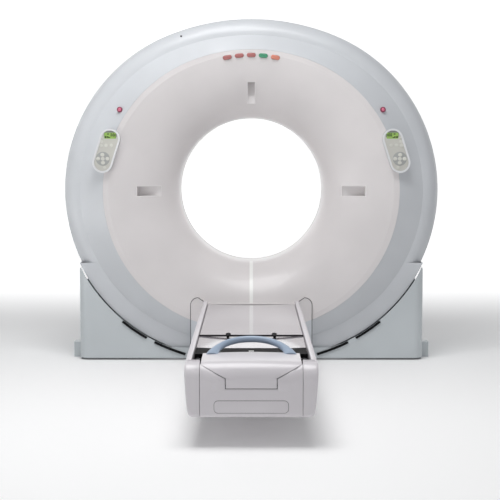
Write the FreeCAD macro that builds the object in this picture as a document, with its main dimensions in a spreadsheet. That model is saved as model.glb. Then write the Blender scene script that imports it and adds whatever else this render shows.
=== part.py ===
"""A large-bore CT scanner: a tilting ring gantry on its base, and a patient couch on a scissor lift.

Millimetres, +Z up. The origin is on the floor under the isocentre, the bore runs along Y,
and the couch lies on the -Y side. Every driving size is a named cell of the sheet "Sizes".
"""

import FreeCAD, Part
import math
import os
import Sketcher

V = FreeCAD.Vector
doc = FreeCAD.newDocument("ct_scanner")

# ---------------------------------------------------------------------------------------
# Driving dimensions
# ---------------------------------------------------------------------------------------

SIZES = {
    # gantry: axis, bore and bells
    "iso_height": 1035, "bore_radius": 450, "bore_half_length": 130, "liner_wall": 6,
    "scan_window_half": 25, "bell_depth": 425, "bell_half_width": 897, "bell_half_height": 852,
    "bell_wall": 6, "bell_throat": 350, "bell_throat_rise": 30, "rear_bell_half_width": 800,
    "rear_bell_half_height": 760, "rear_bell_throat": 290,
    # gantry: ring covers
    "ring_half_width": 1150, "ring_half_height": 1048, "ring_half_depth": 350,
    "ring_edge_round": 105, "ring_rim_half": 215, "ring_lip_depth": 420, "cover_wall": 6,
    "cover_overlap": 40, "oval_join_angle": 67.5, "cover_seam": 0.4, "sweep_clear_floor": 13,
    "rim_side_from": 995, "rim_bottom_half": 868, "interface_half_width": 371,
    "interface_top_drop": 642, "interface_corner": 48, "interface_notch_run": 60,
    "interface_notch_depth": 40, "interface_depth": 430, "interface_lap": 6, "spoke_width": 80,
    # gantry: base
    "base_half_width": 1055, "base_half_depth": 372, "base_top": 597, "base_clear_floor": 12,
    "base_corner_round": 60, "base_seam_gap": 5, "swing_gap": 14, "base_split": 300,
    "frame_plate": 16, "frame_rail_inner": 900, "frame_beam_depth": 45, "frame_beam_height": 40,
    "frame_half_depth": 318, "anchor_x": 1078, "anchor_y": 210, "anchor_hole": 18,
    "anchor_margin": 17, "anchor_room": 2, "weld_lap": 10, "anchor_tab": 60,
    "anchor_cover_height": 95, "anchor_cover_reach": 1103, "column_inner": 905,
    "column_thickness": 80, "column_head_radius": 115, "column_foot_front": 90,
    "column_foot_rear": 316, "column_knee_drop": 400, "column_shoulder_drop": 600,
    "column_knee_foot": 235, "trunnion_radius": 60, "fit_gap": 0.05, "strip_height": 14,
    "strip_depth": 8,
    # gantry: tilting frame and rotor
    "tilt_ring_outer": 880, "tilt_ring_inner": 545, "tilt_ring_front": 150, "tilt_ring_rear": 190,
    "trunnion_arm_half": 90, "trunnion_arm_inner": 845, "trunnion_arm_front": 75,
    "race_split_radius": 520, "race_inner_radius": 495, "rotor_inner": 475, "rotor_outer": 830,
    "rotor_front": 60, "rotor_rear": 90, "rotor_pan_front": 130, "rotor_pan_inner": 800,
    "race_gap": 0.1, "outer_race_setback": 25, "tube_radius": 105, "tube_offset": 694,
    "tube_front": 190, "collimator_half": 120, "collimator_bottom": 515, "collimator_front": 110,
    "focus_offset": 620, "detector_radius": 1130, "detector_thickness": 100,
    "detector_half_angle": 27, "detector_front": 90, "box_inner": 560, "box_outer": 760,
    "box_half_height": 170, "box_front": 150, "slip_inner": 580, "slip_outer": 660,
    "slip_rear": 110,
    # gantry: fittings on the covers
    "lamp_count": 5, "lamp_spacing": 72, "lamp_length": 55, "lamp_height": 28, "lamp_inset": 34,
    "lamp_thickness": 10, "lamp_arc_flatness": 1.144, "lamp_gap": 0.15, "laser_inner": 555,
    "laser_outer": 695, "laser_half_height": 29.5, "laser_wall": 4, "laser_sink": 22,
    "top_laser_inner": 535, "top_laser_outer": 660, "top_laser_half_width": 22, "stop_x": 793,
    "stop_rise": 493, "stop_collar_radius": 16.5, "stop_radius": 10, "stop_travel": 4,
    "stop_proud": 9, "stop_gap": 0.4, "stop_stem_radius": 5, "stop_front": 412,
    "stop_collar_length": 46, "panel_gap": 0.2, "panel_x": 872, "panel_rise": 246,
    "panel_length": 272, "panel_width": 122, "panel_lean": 17.7, "panel_front": 452,
    "panel_back": 385, "panel_rim": 11, "panel_face_drop": 2, "panel_face_thickness": 6,
    "display_length": 84, "display_height": 40, "display_sink": 0.5, "display_depth": 4,
    "display_rise": 78, "key_radius": 9, "key_thickness": 3, "pad_radius": 44, "strip_width": 21,
    "strip_thickness": 3,
    # couch: outline
    "couch_far": 440, "couch_near": 2700, "couch_half_width": 293, "couch_rail_inner": 264,
    "couch_rail_top": 372, "couch_bottom": 133, "couch_wall": 6, "end_cover_depth": 90,
    "end_seam_half": 225, "end_gap": 3, "belly_half": 229, "belly_far_end": 590,
    "belly_near_start": 1910,
    # couch: top
    "board_half_width": 260, "board_top": 357, "board_thickness": 22, "board_dish": 8,
    "board_setback": 25, "cradle_end": 1792, "extension_end": 2160, "band_end": 2337,
    "band_drop": 3, "beam_half_width": 158, "beam_bottom": 306, "beam_start": 500,
    "tail_top": 368, "tail_half_width": 222, "keel_half_width": 111, "keel_top": 306,
    "keel_bottom": 261, "knob_x": 116, "knob_radius": 13, "knob_height": 16, "handle_leg_x": 169,
    "handle_thickness": 30, "handle_foot_y": 2400, "handle_crown_y": 2265, "handle_crown_z": 418,
    "handle_corner": 55,
    # couch: frame and lift
    "deck_bottom": 252, "deck_thickness": 6, "side_beam_inner": 224, "side_beam_outer": 254,
    "side_beam_bottom": 190, "slide_rail_inner": 116, "slide_rail_width": 40, "slide_gap": 0.3,
    "lift_pivot_y": 1800, "lift_pivot_z": 50, "lift_arm_length": 1100, "lift_rest_angle": 6,
    "arm_height": 50, "arm_thickness": 14, "arm_a_inner": 150, "arm_b_inner": 132,
    "pivot_radius": 14, "pivot_gap": 0.05, "roller_gap": 0.3, "couch_plate": 18,
    "couch_foot_half_width": 195, "couch_foot_half_length": 630, "couch_foot_centre": 1250,
    "shroud_wall": 4, "shroud_gap": 0.5, "shroud_count": 4, "shroud_height": 225,
    "couch_anchor_x": 100, "couch_anchor_y": 560, "couch_anchor_hole": 14, "rib_thickness": 10,
    "lift_motor_radius": 34, "lift_motor_length": 210, "gearbox_half_width": 60,
    "gearbox_half_length": 45, "gearbox_top": 95, "track_length": 215, "tie_side_gap": 3.6,
    "couch_corner": 38, "rail_wall_height": 66, "knob_setback": 16, "knob_stem_radius": 5,
    "handle_crown_half": 104, "tie_width": 30, "tie_thickness": 12, "tie_overlap": 10,
    "frame_end_gap": 5, "lug_margin": 4, "lug_gap": 1, "rail_end_gap": 5, "strut_depth": 12,
    "strut_setback": 60, "strut_width": 27, "rail_corner": 5, "shoulder_drop": 27, "knob_wing": 4,
    "knob_wing_reach": 6, "handle_pad_rim": 9,
}

sheet = doc.addObject("Spreadsheet::Sheet", "Sizes")
for row, (alias, number) in enumerate(SIZES.items(), start=1):
    sheet.set(f"A{row}", alias)
    sheet.set(f"B{row}", str(number))
    sheet.setAlias(f"B{row}", alias)
doc.recompute()


class Size:
    """A value from the sheet together with the expression that gives it."""

    def __init__(self, value, text):
        self.value = float(value)
        self.text = text

    def __add__(self, other):
        other = as_size(other)
        return Size(self.value + other.value, f"({self.text} + {other.text})")

    def __sub__(self, other):
        other = as_size(other)
        return Size(self.value - other.value, f"({self.text} - {other.text})")

    def __mul__(self, other):
        other = as_size(other)
        return Size(self.value * other.value, f"({self.text} * {other.text})")

    def __truediv__(self, other):
        other = as_size(other)
        return Size(self.value / other.value, f"({self.text} / {other.text})")

    def __rsub__(self, other):
        return as_size(other) - self

    def __neg__(self):
        return Size(-self.value, f"(-1 * {self.text})")

    __radd__ = __add__
    __rmul__ = __mul__


def as_size(value):
    return value if isinstance(value, Size) else Size(value, repr(float(value)))


def size(alias):
    return Size(sheet.get(alias), f"Sizes.{alias}")


def num(alias):
    return float(sheet.get(alias))


# ---------------------------------------------------------------------------------------
# Small builders: every one returns a document object whose Label is its node's name
# ---------------------------------------------------------------------------------------

AXIS_TURN = {
    "x": FreeCAD.Rotation(V(0, 1, 0), 90),
    "y": FreeCAD.Rotation(V(1, 0, 0), -90),
    "z": FreeCAD.Rotation(),
}
PLANE_OF = {"x": "YZ_Plane", "y": "XZ_Plane", "z": "XY_Plane"}
nodes = []


def node(label, obj):
    """Mark an object as a finished sub-part."""
    obj.Label = label
    nodes.append(obj)
    return obj


def place(obj, at):
    for axis, coordinate in zip("xyz", at):
        obj.setExpression(f"Placement.Base.{axis}", as_size(coordinate).text)


def box(name, x, y, z):
    """A block between two values on each axis."""
    obj = doc.addObject("Part::Box", name)
    for prop, (low, high) in zip(("Length", "Width", "Height"), (x, y, z)):
        obj.setExpression(prop, (as_size(high) - low).text)
    place(obj, (x[0], y[0], z[0]))
    return obj


def rod(name, radius, axis, start, length):
    """A cylinder that begins at a point and runs along an axis."""
    obj = doc.addObject("Part::Cylinder", name)
    obj.setExpression("Radius", as_size(radius).text)
    obj.setExpression("Height", as_size(length).text)
    obj.Placement = FreeCAD.Placement(V(), AXIS_TURN[axis])
    place(obj, start)
    return obj


def fuse(name, pieces):
    obj = doc.addObject("Part::MultiFuse", name)
    obj.Shapes = pieces
    obj.Refine = True
    return obj


def cut(name, base, *tools):
    for index, tool in enumerate(tools):
        result = doc.addObject("Part::Cut", f"{name}_{index}")
        result.Base = base
        result.Tool = tool
        base = result
    return base


def ring(name, outer, inner, axis, start, length):
    """A tube with a wall between two radii."""
    return cut(name, rod(f"{name}_outer", outer, axis, start, length),
               rod(f"{name}_inner", inner, axis, start, length))


def origin_feature(body, role):
    return next(item for item in body.Origin.OriginFeatures if item.Role == role)


def draw_polygon(sketch, points):
    """A closed outline whose corners are held to the sheet one by one."""
    first = sketch.GeometryCount
    count = len(points)
    points = [(as_size(across), as_size(up)) for across, up in points]
    for index in range(count):
        start, end = points[index], points[(index + 1) % count]
        sketch.addGeometry(Part.LineSegment(V(start[0].value, start[1].value, 0),
                                            V(end[0].value, end[1].value, 0)))
    for index in range(count):
        sketch.addConstraint(Sketcher.Constraint("Coincident", first + index, 2,
                                                 first + (index + 1) % count, 1))
    for index, point in enumerate(points):
        for kind, value in zip(("DistanceX", "DistanceY"), point):
            number = sketch.addConstraint(Sketcher.Constraint(kind, -1, 1, first + index, 1,
                                                              value.value))
            sketch.setExpression(f"Constraints[{number}]", value.text)


def draw_circle(sketch, across, up, radius):
    across, up, radius = as_size(across), as_size(up), as_size(radius)
    index = sketch.addGeometry(Part.Circle(V(across.value, up.value, 0), V(0, 0, 1),
                                           radius.value))
    for kind, value in (("DistanceX", across), ("DistanceY", up)):
        number = sketch.addConstraint(Sketcher.Constraint(kind, -1, 1, index, 3, value.value))
        sketch.setExpression(f"Constraints[{number}]", value.text)
    number = sketch.addConstraint(Sketcher.Constraint("Radius", index, radius.value))
    sketch.setExpression(f"Constraints[{number}]", radius.text)


def new_sketch(body, name, plane, offset=0):
    sketch = body.newObject("Sketcher::SketchObject", name)
    sketch.AttachmentSupport = [(origin_feature(body, plane), "")]
    sketch.MapMode = "FlatFace"
    sketch.setExpression("AttachmentOffset.Base.z", as_size(offset).text)
    return sketch


def prism(name, axis, low, high, outline, holes=()):
    """A padded outline; it runs along an axis between two values and may have round holes.

    The outline's own axes are X, Z for a prism along Y; Y, Z along X; and X, Y along Z.
    """
    body = doc.addObject("PartDesign::Body", name)
    low, high = as_size(low), as_size(high)
    offset = -high if axis == "y" else low
    sketch = new_sketch(body, f"{name}_outline", PLANE_OF[axis], offset)
    draw_polygon(sketch, outline)
    for hole in holes:
        draw_circle(sketch, *hole)
    pad = body.newObject("PartDesign::Pad", f"{name}_pad")
    pad.Profile = sketch
    pad.setExpression("Length", (high - low).text)
    body.Tip = pad
    return body


def turned(name, outline, centre_height):
    """An outline of (radius, y) points revolved about a line along Y at a given height."""
    body = doc.addObject("PartDesign::Body", name)
    sketch = new_sketch(body, f"{name}_outline", "XY_Plane")
    draw_polygon(sketch, outline)
    revolve = body.newObject("PartDesign::Revolution", f"{name}_turn")
    revolve.Profile = sketch
    revolve.ReferenceAxis = (sketch, ["V_Axis"])
    revolve.Angle = 360
    body.Tip = revolve
    body.setExpression("Placement.Base.z", as_size(centre_height).text)
    return body


def free_shape(name, shape):
    """A sub-part whose curved surfaces are worked out in code from the sheet's numbers."""
    obj = doc.addObject("Part::Feature", name)
    obj.Shape = shape
    return obj


# ---------------------------------------------------------------------------------------
# Gantry outline: four-arc ovals about the isocentre
# ---------------------------------------------------------------------------------------

ISO = num("iso_height")
JOIN = math.radians(num("oval_join_angle"))
BIG = 3000.0
WALL = num("cover_wall")
SEAM = num("cover_seam")
HALF_DEPTH = num("ring_half_depth")
RIM_HALF = num("ring_rim_half")


def oval_wire(half_width, half_height, y):
    """Four tangent arcs: side arcs and flatter top and bottom arcs, joined at a set angle."""
    share = (1 - math.sin(JOIN)) / math.cos(JOIN)
    side = (half_height - share * half_width) / (1 - share)
    offset = half_width - side
    flat = side + offset / math.cos(JOIN)
    drop = flat - half_height
    side_x, side_z = side * math.cos(JOIN), side * math.sin(JOIN)
    right_top = V(offset + side_x, y, ISO + side_z)
    left_top = V(-offset - side_x, y, ISO + side_z)
    left_low = V(-offset - side_x, y, ISO - side_z)
    right_low = V(offset + side_x, y, ISO - side_z)
    arcs = [
        Part.Arc(right_low, V(half_width, y, ISO), right_top),
        Part.Arc(right_top, V(0, y, ISO - drop + flat), left_top),
        Part.Arc(left_top, V(-half_width, y, ISO), left_low),
        Part.Arc(left_low, V(0, y, ISO + drop - flat), right_low),
    ]
    return Part.Wire([arc.toShape() for arc in arcs])


def oval_drop(half_width, half_height, x):
    """How far below the axis an oval's side arc is at a given distance from the middle."""
    share = (1 - math.sin(JOIN)) / math.cos(JOIN)
    side = (half_height - share * half_width) / (1 - share)
    reach = x - (half_width - side)
    return math.sqrt(max(side ** 2 - reach ** 2, 0.0))


def oval_prism(half_width, half_height, front, rear):
    return Part.Face(oval_wire(half_width, half_height, front)).extrude(V(0, rear - front, 0))


def oval_loft(sections):
    return Part.makeLoft([oval_wire(*section) for section in sections], True, False)


def block(x, y, z):
    """A plain box between two values on each axis, as a bare shape."""
    return Part.makeBox(x[1] - x[0], y[1] - y[0], z[1] - z[0], V(x[0], y[0], z[0]))


def rounded_envelope(inset):
    """The ring's outside with its two outer edges rounded, moved inwards by an inset."""
    depth = HALF_DEPTH - inset
    solid = oval_prism(num("ring_half_width") - inset, num("ring_half_height") - inset,
                       -depth, depth)
    edges = [edge for edge in solid.Edges
             if all(abs(abs(vertex.Point.y) - depth) < 1e-6 for vertex in edge.Vertexes)]
    return solid.makeFillet(num("ring_edge_round") - inset, edges)


def square_envelope(inset):
    """The same outside with square edges, for the part that sits down in the base."""
    depth = HALF_DEPTH - inset
    return oval_prism(num("ring_half_width") - inset, num("ring_half_height") - inset,
                      -depth, depth)


PARTING = num("base_top")
above = block((-BIG, BIG), (-BIG, BIG), (PARTING, BIG))
below = block((-BIG, BIG), (-BIG, BIG), (-BIG, PARTING))


def sweep_cylinder(radius):
    """Everything that clears the floor and the base when the ring tilts."""
    return Part.makeCylinder(radius, 2 * BIG, V(-BIG, 0, ISO), V(1, 0, 0))


SWEEP = ISO - num("sweep_clear_floor")


def clear_of_floor(shape):
    """Trim only what lies below the base's top edge to the swept cylinder."""
    return shape.cut(below.cut(sweep_cylinder(SWEEP)))


def ring_envelope(inset):
    """Rounded above the base's top edge, square and cut clear of the floor below it."""
    upper = rounded_envelope(inset).common(above)
    lower = square_envelope(inset).common(below).common(
        sweep_cylinder(SWEEP - inset))
    return upper.fuse(lower)


ring_outside = ring_envelope(0)
ring_inside = ring_envelope(WALL)
ring_shell = ring_outside.cut(ring_inside)

# The sloping face between the bell's lip and the flat of the ring
EDGE_ROUND = num("ring_edge_round")
FACE_WIDTH = num("ring_half_width") - EDGE_ROUND
FACE_HEIGHT = num("ring_half_height") - EDGE_ROUND
LIP_WIDTH = num("bell_half_width") + SEAM
LIP_HEIGHT = num("bell_half_height") + SEAM
LIP_DEPTH = num("ring_lip_depth")
BELL_DEPTH = num("bell_depth")


def face_cone(back):
    """The sloping face as a solid, moved back along Y by an amount."""
    return oval_loft([(FACE_WIDTH, FACE_HEIGHT, -HALF_DEPTH + back),
                      (LIP_WIDTH, LIP_HEIGHT, -LIP_DEPTH + back)])


def bezier(start, middle, end, share):
    """A point on a three-point curve."""
    return [(1 - share) ** 2 * a + 2 * share * (1 - share) * b + share ** 2 * c
            for a, b, c in zip(start, middle, end)]


BELL_STATIONS = 7


def bell_sections(depth, half_width, half_height, throat, offset, overrun):
    """Ovals along a trumpet from the round bore to the wide lip, offset away from the air.

    A station is (half width, half height, distance from the isocentre plane).
    """
    bore = num("bore_radius")
    start = (bore, bore, num("bore_half_length"))
    middle = (bore + num("bell_throat_rise"), bore + num("bell_throat_rise"), throat)
    end = (half_width, half_height, depth)
    stations = []
    for index in range(BELL_STATIONS):
        share = index / (BELL_STATIONS - 1)
        here = bezier(start, middle, end, share)
        slope = [b - a for a, b in zip(bezier(start, middle, end, share - 0.01),
                                       bezier(start, middle, end, share + 0.01))]
        length = math.hypot(slope[0], slope[2])
        out, back = slope[2] / length * offset, slope[0] / length * offset
        stations.append((here[0] + out, here[1] + out, here[2] - back))
    if overrun:
        stations[-1] = tuple(last + (last - before) * overrun
                             for last, before in zip(stations[-1], stations[-2]))
    return stations


def bell_solid(side, depth, half_width, half_height, throat, offset=0.0, overrun=0.0):
    stations = bell_sections(depth, half_width, half_height, throat, offset, overrun)
    wires = [oval_wire(wide, tall, side * y) for wide, tall, y in stations]
    return Part.makeLoft(wires, True, False)


def bell_surface_y(drop):
    """How far forward the front bell's surface is, straight above or below the axis."""
    low, high = 0.0, 1.0
    start = (num("bore_radius"), num("bore_half_length"))
    middle = (num("bore_radius") + num("bell_throat_rise"), num("bell_throat"))
    end = (num("bell_half_height"), BELL_DEPTH)
    for _ in range(40):
        share = (low + high) / 2
        if bezier(start, middle, end, share)[0] < drop:
            low = share
        else:
            high = share
    return bezier(start, middle, end, low)[1]


# ---------------------------------------------------------------------------------------
# Sizes used by name below
# ---------------------------------------------------------------------------------------

S = {alias: size(alias) for alias in SIZES}
iso = S["iso_height"]


# ---------------------------------------------------------------------------------------
# Gantry base: floor frame, columns, covers
# ---------------------------------------------------------------------------------------

def build_floor_frame():
    outer = S["base_half_width"] - S["cover_wall"] - S["cover_seam"]
    inner = S["frame_rail_inner"]
    depth = S["frame_half_depth"]
    plate = S["frame_plate"]
    beam = depth - S["frame_beam_depth"]
    pieces = []
    for side, name in ((-1, "l"), (1, "r")):
        x = (inner, outer) if side > 0 else (-outer, -inner)
        pieces.append(box(f"floor_plate_{name}", x, (-depth, depth), (0, plate)))
        for end, mark in ((-1, "f"), (1, "b")):
            reach = S["anchor_x"] + S["anchor_margin"]
            low = outer - S["weld_lap"]
            tab_x = (low, reach) if side > 0 else (-reach, -low)
            middle = S["anchor_y"] * end
            half = S["anchor_tab"] / 2
            tab = box(f"anchor_tab_{name}{mark}", tab_x, (middle - half, middle + half),
                      (0, S["base_clear_floor"] - S["cover_seam"]))
            hole = rod(f"anchor_hole_{name}{mark}", S["anchor_hole"] / 2, "z",
                       (S["anchor_x"] * side, middle, -1), plate + 2)
            pieces.append(cut(f"anchor_lug_{name}{mark}", tab, hole))
    for end, name in ((-1, "f"), (1, "b")):
        y = (beam, depth) if end > 0 else (-depth, -beam)
        pieces.append(box(f"cross_beam_{name}", (-S["column_inner"], S["column_inner"]), y,
                          (0, S["frame_beam_height"])))
    return node("floor_frame", fuse("floor_frame", pieces))


def build_column(side, label):
    low = S["column_inner"]
    high = low + S["column_thickness"]
    span = (low, high) if side > 0 else (-high, -low)
    head = S["column_head_radius"]
    outline = [
        (S["column_foot_front"], S["frame_plate"]),
        (S["column_foot_rear"], S["frame_plate"]),
        (S["column_foot_rear"], iso - S["column_shoulder_drop"]),
        (head, iso),
        (-head, iso),
        (-head, iso - S["column_knee_drop"]),
        (S["column_foot_front"], S["column_knee_foot"]),
    ]
    post = prism(f"{label}_post", "x", span[0], span[1], outline)
    cap = rod(f"{label}_cap", head, "x", (span[0], 0, iso), S["column_thickness"])
    eye = rod(f"{label}_eye", S["trunnion_radius"] + S["fit_gap"], "x",
              (span[0] - 1, 0, iso), S["column_thickness"] + 2)
    return node(label, cut(f"{label}_body", fuse(f"{label}_solid", [post, cap]), eye))


def base_tub(inset):
    half_width = num("base_half_width") - inset
    half_depth = num("base_half_depth") - inset
    floor = num("base_clear_floor")
    tub = block((-half_width, half_width), (-half_depth, half_depth), (floor, PARTING))
    upright = [edge for edge in tub.Edges
               if abs(edge.Vertexes[0].Point.z - edge.Vertexes[-1].Point.z) > 1]
    return tub.makeFillet(num("base_corner_round") - inset, upright)


def build_base_covers():
    """A four-sided skirt, cut away where the ring sits and where it swings out."""
    gap = num("base_seam_gap")
    opening = oval_prism(num("ring_half_width") + gap, num("ring_half_height") + gap,
                         -BIG, BIG)
    opening = opening.common(sweep_cylinder(SWEEP + gap))
    widest_drop = oval_drop(num("ring_half_width"), num("ring_half_height"),
                            num("base_half_width") - WALL)
    swing = sweep_cylinder(math.hypot(HALF_DEPTH, widest_drop) + num("swing_gap"))
    skin = base_tub(0).cut(base_tub(WALL)).cut(opening).cut(swing)
    split = num("base_split")
    half = SEAM / 2
    regions = {
        "base_cover_front": block((-BIG, BIG), (-BIG, -split - half), (0, BIG)),
        "base_cover_rear": block((-BIG, BIG), (split + half, BIG), (0, BIG)),
        "base_cover_sides": block((-BIG, BIG), (-split + half, split - half), (0, BIG)),
    }
    for label, region in regions.items():
        node(label, free_shape(label, skin.common(region)))


def build_anchor_covers():
    """Caps over the four floor anchors, outside the skirt."""
    wall = S["base_half_width"] + S["cover_seam"]
    reach = S["anchor_cover_reach"]
    skin = S["cover_wall"]
    half = S["anchor_tab"] / 2 + skin + S["anchor_room"]
    caps = []
    for side, name in ((-1, "l"), (1, "r")):
        for end, mark in ((-1, "f"), (1, "b")):
            middle = S["anchor_y"] * end
            x = (wall, reach) if side > 0 else (-reach, -wall)
            inner_x = (wall - 1, reach - skin) if side > 0 else (skin - reach, 1 - wall)
            shell = box(f"anchor_cap_{name}{mark}", x, (middle - half, middle + half),
                        (0, S["anchor_cover_height"]))
            hollow = box(f"anchor_room_{name}{mark}", inner_x,
                         (middle - half + skin, middle + half - skin),
                         (-1, S["anchor_cover_height"] - skin))
            caps.append(cut(f"anchor_cover_{name}{mark}", shell, hollow))
    node("anchor_covers", fuse("anchor_covers", caps))


STRIP_STRETCHES = ((45.3, 54.5), (57.3, 68))


def build_touch_strips():
    """Rubber edge strips on the base's front, along the seam between ring and base."""
    gap = num("base_seam_gap")
    front = num("base_half_depth")
    wide, tall = num("ring_half_width") + gap, num("ring_half_height") + gap
    height, depth = num("strip_height"), num("strip_depth")
    band = oval_prism(wide + height, tall + height, -front - depth, -front).cut(
        oval_prism(wide, tall, -BIG, BIG))
    strips = []
    for side in (-1, 1):
        for start, end in STRIP_STRETCHES:
            strips.append(band.common(sector_prism(start, end, side)))
    node("touch_strips", free_shape("touch_strips", Part.makeCompound(strips)))


def sector_prism(start, end, side):
    """A wedge about the bore axis, between two angles measured down from the horizontal."""
    corners = [V(0, -BIG, ISO)]
    for angle in (start, end):
        turn = math.radians(angle)
        corners.append(V(side * BIG * math.cos(turn), -BIG, ISO - BIG * math.sin(turn)))
    corners.append(corners[0])
    return Part.Face(Part.makePolygon(corners)).extrude(V(0, 2 * BIG, 0))


# ---------------------------------------------------------------------------------------
# Tilting ring: frame, covers, bells
# ---------------------------------------------------------------------------------------

SPOKE_DEGREES = (35, 62, 90, 118, 145, 242, 298)


def build_tilt_frame():
    """Bearing ring with two trunnion arms, and spokes that carry the covers."""
    outer, inner = S["tilt_ring_outer"], S["tilt_ring_inner"]
    front, rear = S["tilt_ring_front"], S["tilt_ring_rear"]
    plate = turned("tilt_ring", [(inner, front), (outer, front), (outer, rear),
                                 (inner, rear)], iso)
    half = S["trunnion_arm_half"]
    arm_inner = S["trunnion_arm_inner"]
    arm_outer = S["column_inner"] - S["weld_lap"]
    pieces = [plate]
    for side, name in ((-1, "l"), (1, "r")):
        x = (arm_inner, arm_outer) if side > 0 else (-arm_outer, -arm_inner)
        pieces.append(box(f"arm_{name}", x, (-S["trunnion_arm_front"], rear),
                          (iso - half, iso + half)))
        pin = S["column_thickness"] + S["weld_lap"]
        start = arm_outer if side > 0 else -arm_outer - pin
        pieces.append(rod(f"pin_{name}", S["trunnion_radius"], "x", (start, 0, iso), pin))
    frame = fuse("tilt_frame_core", pieces)
    doc.recompute()
    half = num("spoke_width") / 2
    front, rear = num("tilt_ring_front"), num("tilt_ring_rear")
    start = num("tilt_ring_outer") - num("weld_lap")
    spokes = []
    for degrees in SPOKE_DEGREES:
        bar = Part.makeBox(BIG, rear - front, 2 * half, V(start, front, -half))
        bar.rotate(V(0, 0, 0), V(0, -1, 0), degrees)
        bar.translate(V(0, 0, ISO))
        spokes.append(bar.common(ring_inside))
    shape = frame.Shape.fuse(spokes).removeSplitter()
    return node("tilt_frame", free_shape("tilt_frame", shape))


def laser_recess(kind, grow=0.0):
    """The pocket cut straight back into the bell, flush with it at its inner end."""
    if kind == "top":
        inner, outer = num("top_laser_inner"), num("top_laser_outer")
        half = num("top_laser_half_width")
        back = -bell_surface_y(inner) + grow
        return block((-half - grow, half + grow), (-BIG, back),
                     (ISO + inner - grow, ISO + outer + grow))
    inner, outer = num("laser_inner"), num("laser_outer")
    half = num("laser_half_height")
    back = -bell_surface_y(inner) + num("laser_sink") + grow
    low, high = (inner - grow, outer + grow)
    x = (low, high) if kind == "right" else (-high, -low)
    return block(x, (-BIG, back), (ISO - half - grow, ISO + half + grow))


def interface_region(grow):
    """The panel area round the couch's end: two round shoulders and a lower middle."""
    half = num("interface_half_width") + grow
    top = ISO - num("interface_top_drop") + grow
    region = block((-half, half), (-BIG, -RIM_HALF), (-BIG, top))
    upper = [edge for edge in region.Edges
             if all(abs(vertex.Point.z - top) < 1e-6 for vertex in edge.Vertexes)
             and abs(edge.Vertexes[0].Point.x - edge.Vertexes[-1].Point.x) < 1e-6]
    corner = num("interface_corner")
    far = half - corner - grow
    near = far - num("interface_notch_run")
    floor = top - num("interface_notch_depth")
    notch = [V(-far, -BIG, top), V(-near, -BIG, floor), V(near, -BIG, floor),
             V(far, -BIG, top), V(far, -BIG, top + 1), V(-far, -BIG, top + 1)]
    notch.append(notch[0])
    return region.makeFillet(corner + grow, upper).cut(
        Part.Face(Part.makePolygon(notch)).extrude(V(0, 2 * BIG, 0)))


def panel_prism(side, front, back, grow):
    """A round-ended block leaning inwards at its top, for the control panels."""
    half = num("panel_width") / 2 + grow
    straight = num("panel_length") / 2 - num("panel_width") / 2
    outline = Part.Wire([
        Part.Arc(V(half, 0, straight), V(0, 0, straight + half),
                 V(-half, 0, straight)).toShape(),
        Part.makeLine(V(-half, 0, straight), V(-half, 0, -straight)),
        Part.Arc(V(-half, 0, -straight), V(0, 0, -straight - half),
                 V(half, 0, -straight)).toShape(),
        Part.makeLine(V(half, 0, -straight), V(half, 0, straight)),
    ])
    solid = Part.Face(outline).extrude(V(0, -back + front, 0))
    solid.translate(V(0, -front, 0))
    return to_panel(solid, side)


def to_panel(shape, side):
    """Move a shape modelled about the panel's own middle to its place on the ring."""
    shape.rotate(V(0, 0, 0), V(0, 1, 0), -side * num("panel_lean"))
    shape.translate(V(side * num("panel_x"), 0, ISO + num("panel_rise")))
    return shape


def lamp_prism(index, grow, front, back):
    """One oval lamp, standing square to the front, on an arc just inside the bell's lip."""
    step = index - (num("lamp_count") - 1) / 2
    x = step * num("lamp_spacing")
    radius = num("bell_half_height") - num("lamp_inset")
    z = ISO + math.sqrt(radius ** 2 - x ** 2 * num("lamp_arc_flatness"))
    long, short = num("lamp_length") / 2 + grow, num("lamp_height") / 2 + grow
    oval = Part.Ellipse(V(0, 0, 0), long, short).toShape()
    solid = Part.Face(Part.Wire([oval])).extrude(V(0, 0, front - back))
    solid.rotate(V(0, 0, 0), V(1, 0, 0), 90)
    solid.translate(V(x, -back, z))
    return solid


PANEL_FRONT = num("panel_front")
PANEL_BACK = num("panel_back")
LAMPS = range(int(num("lamp_count")))


def stop_hole(side, radius):
    return Part.makeCylinder(radius, BIG, V(side * num("stop_x"), -BIG,
                                            ISO + num("stop_rise")), V(0, 1, 0))


def build_front_bell():
    bell = bell_solid(-1, BELL_DEPTH, num("bell_half_width"), num("bell_half_height"),
                      num("bell_throat"), num("bell_wall"))
    air = bell_solid(-1, BELL_DEPTH, num("bell_half_width"), num("bell_half_height"),
                     num("bell_throat"), 0.0, 0.2)
    throat = Part.makeCylinder(num("bore_radius"), 2 * BIG, V(0, -BIG, ISO), V(0, 1, 0))
    shell = bell.cut(air).cut(throat)
    shell = shell.common(oval_prism(num("bell_half_width"), num("bell_half_height"),
                                    -BELL_DEPTH, -num("bore_half_length") - SEAM))
    for kind in ("left", "right", "top"):
        shell = shell.cut(laser_recess(kind, num("laser_wall") + SEAM))
    for side in (-1, 1):
        shell = shell.cut(panel_prism(side, PANEL_FRONT + 50, PANEL_BACK - 50, SEAM))
    for index in LAMPS:
        shell = shell.cut(lamp_prism(index, num("lamp_gap"), BELL_DEPTH + 50, 300))
    shell = shell.cut(interface_region(SEAM))
    node("bell_front", free_shape("bell_front", shell))
    return air


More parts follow.
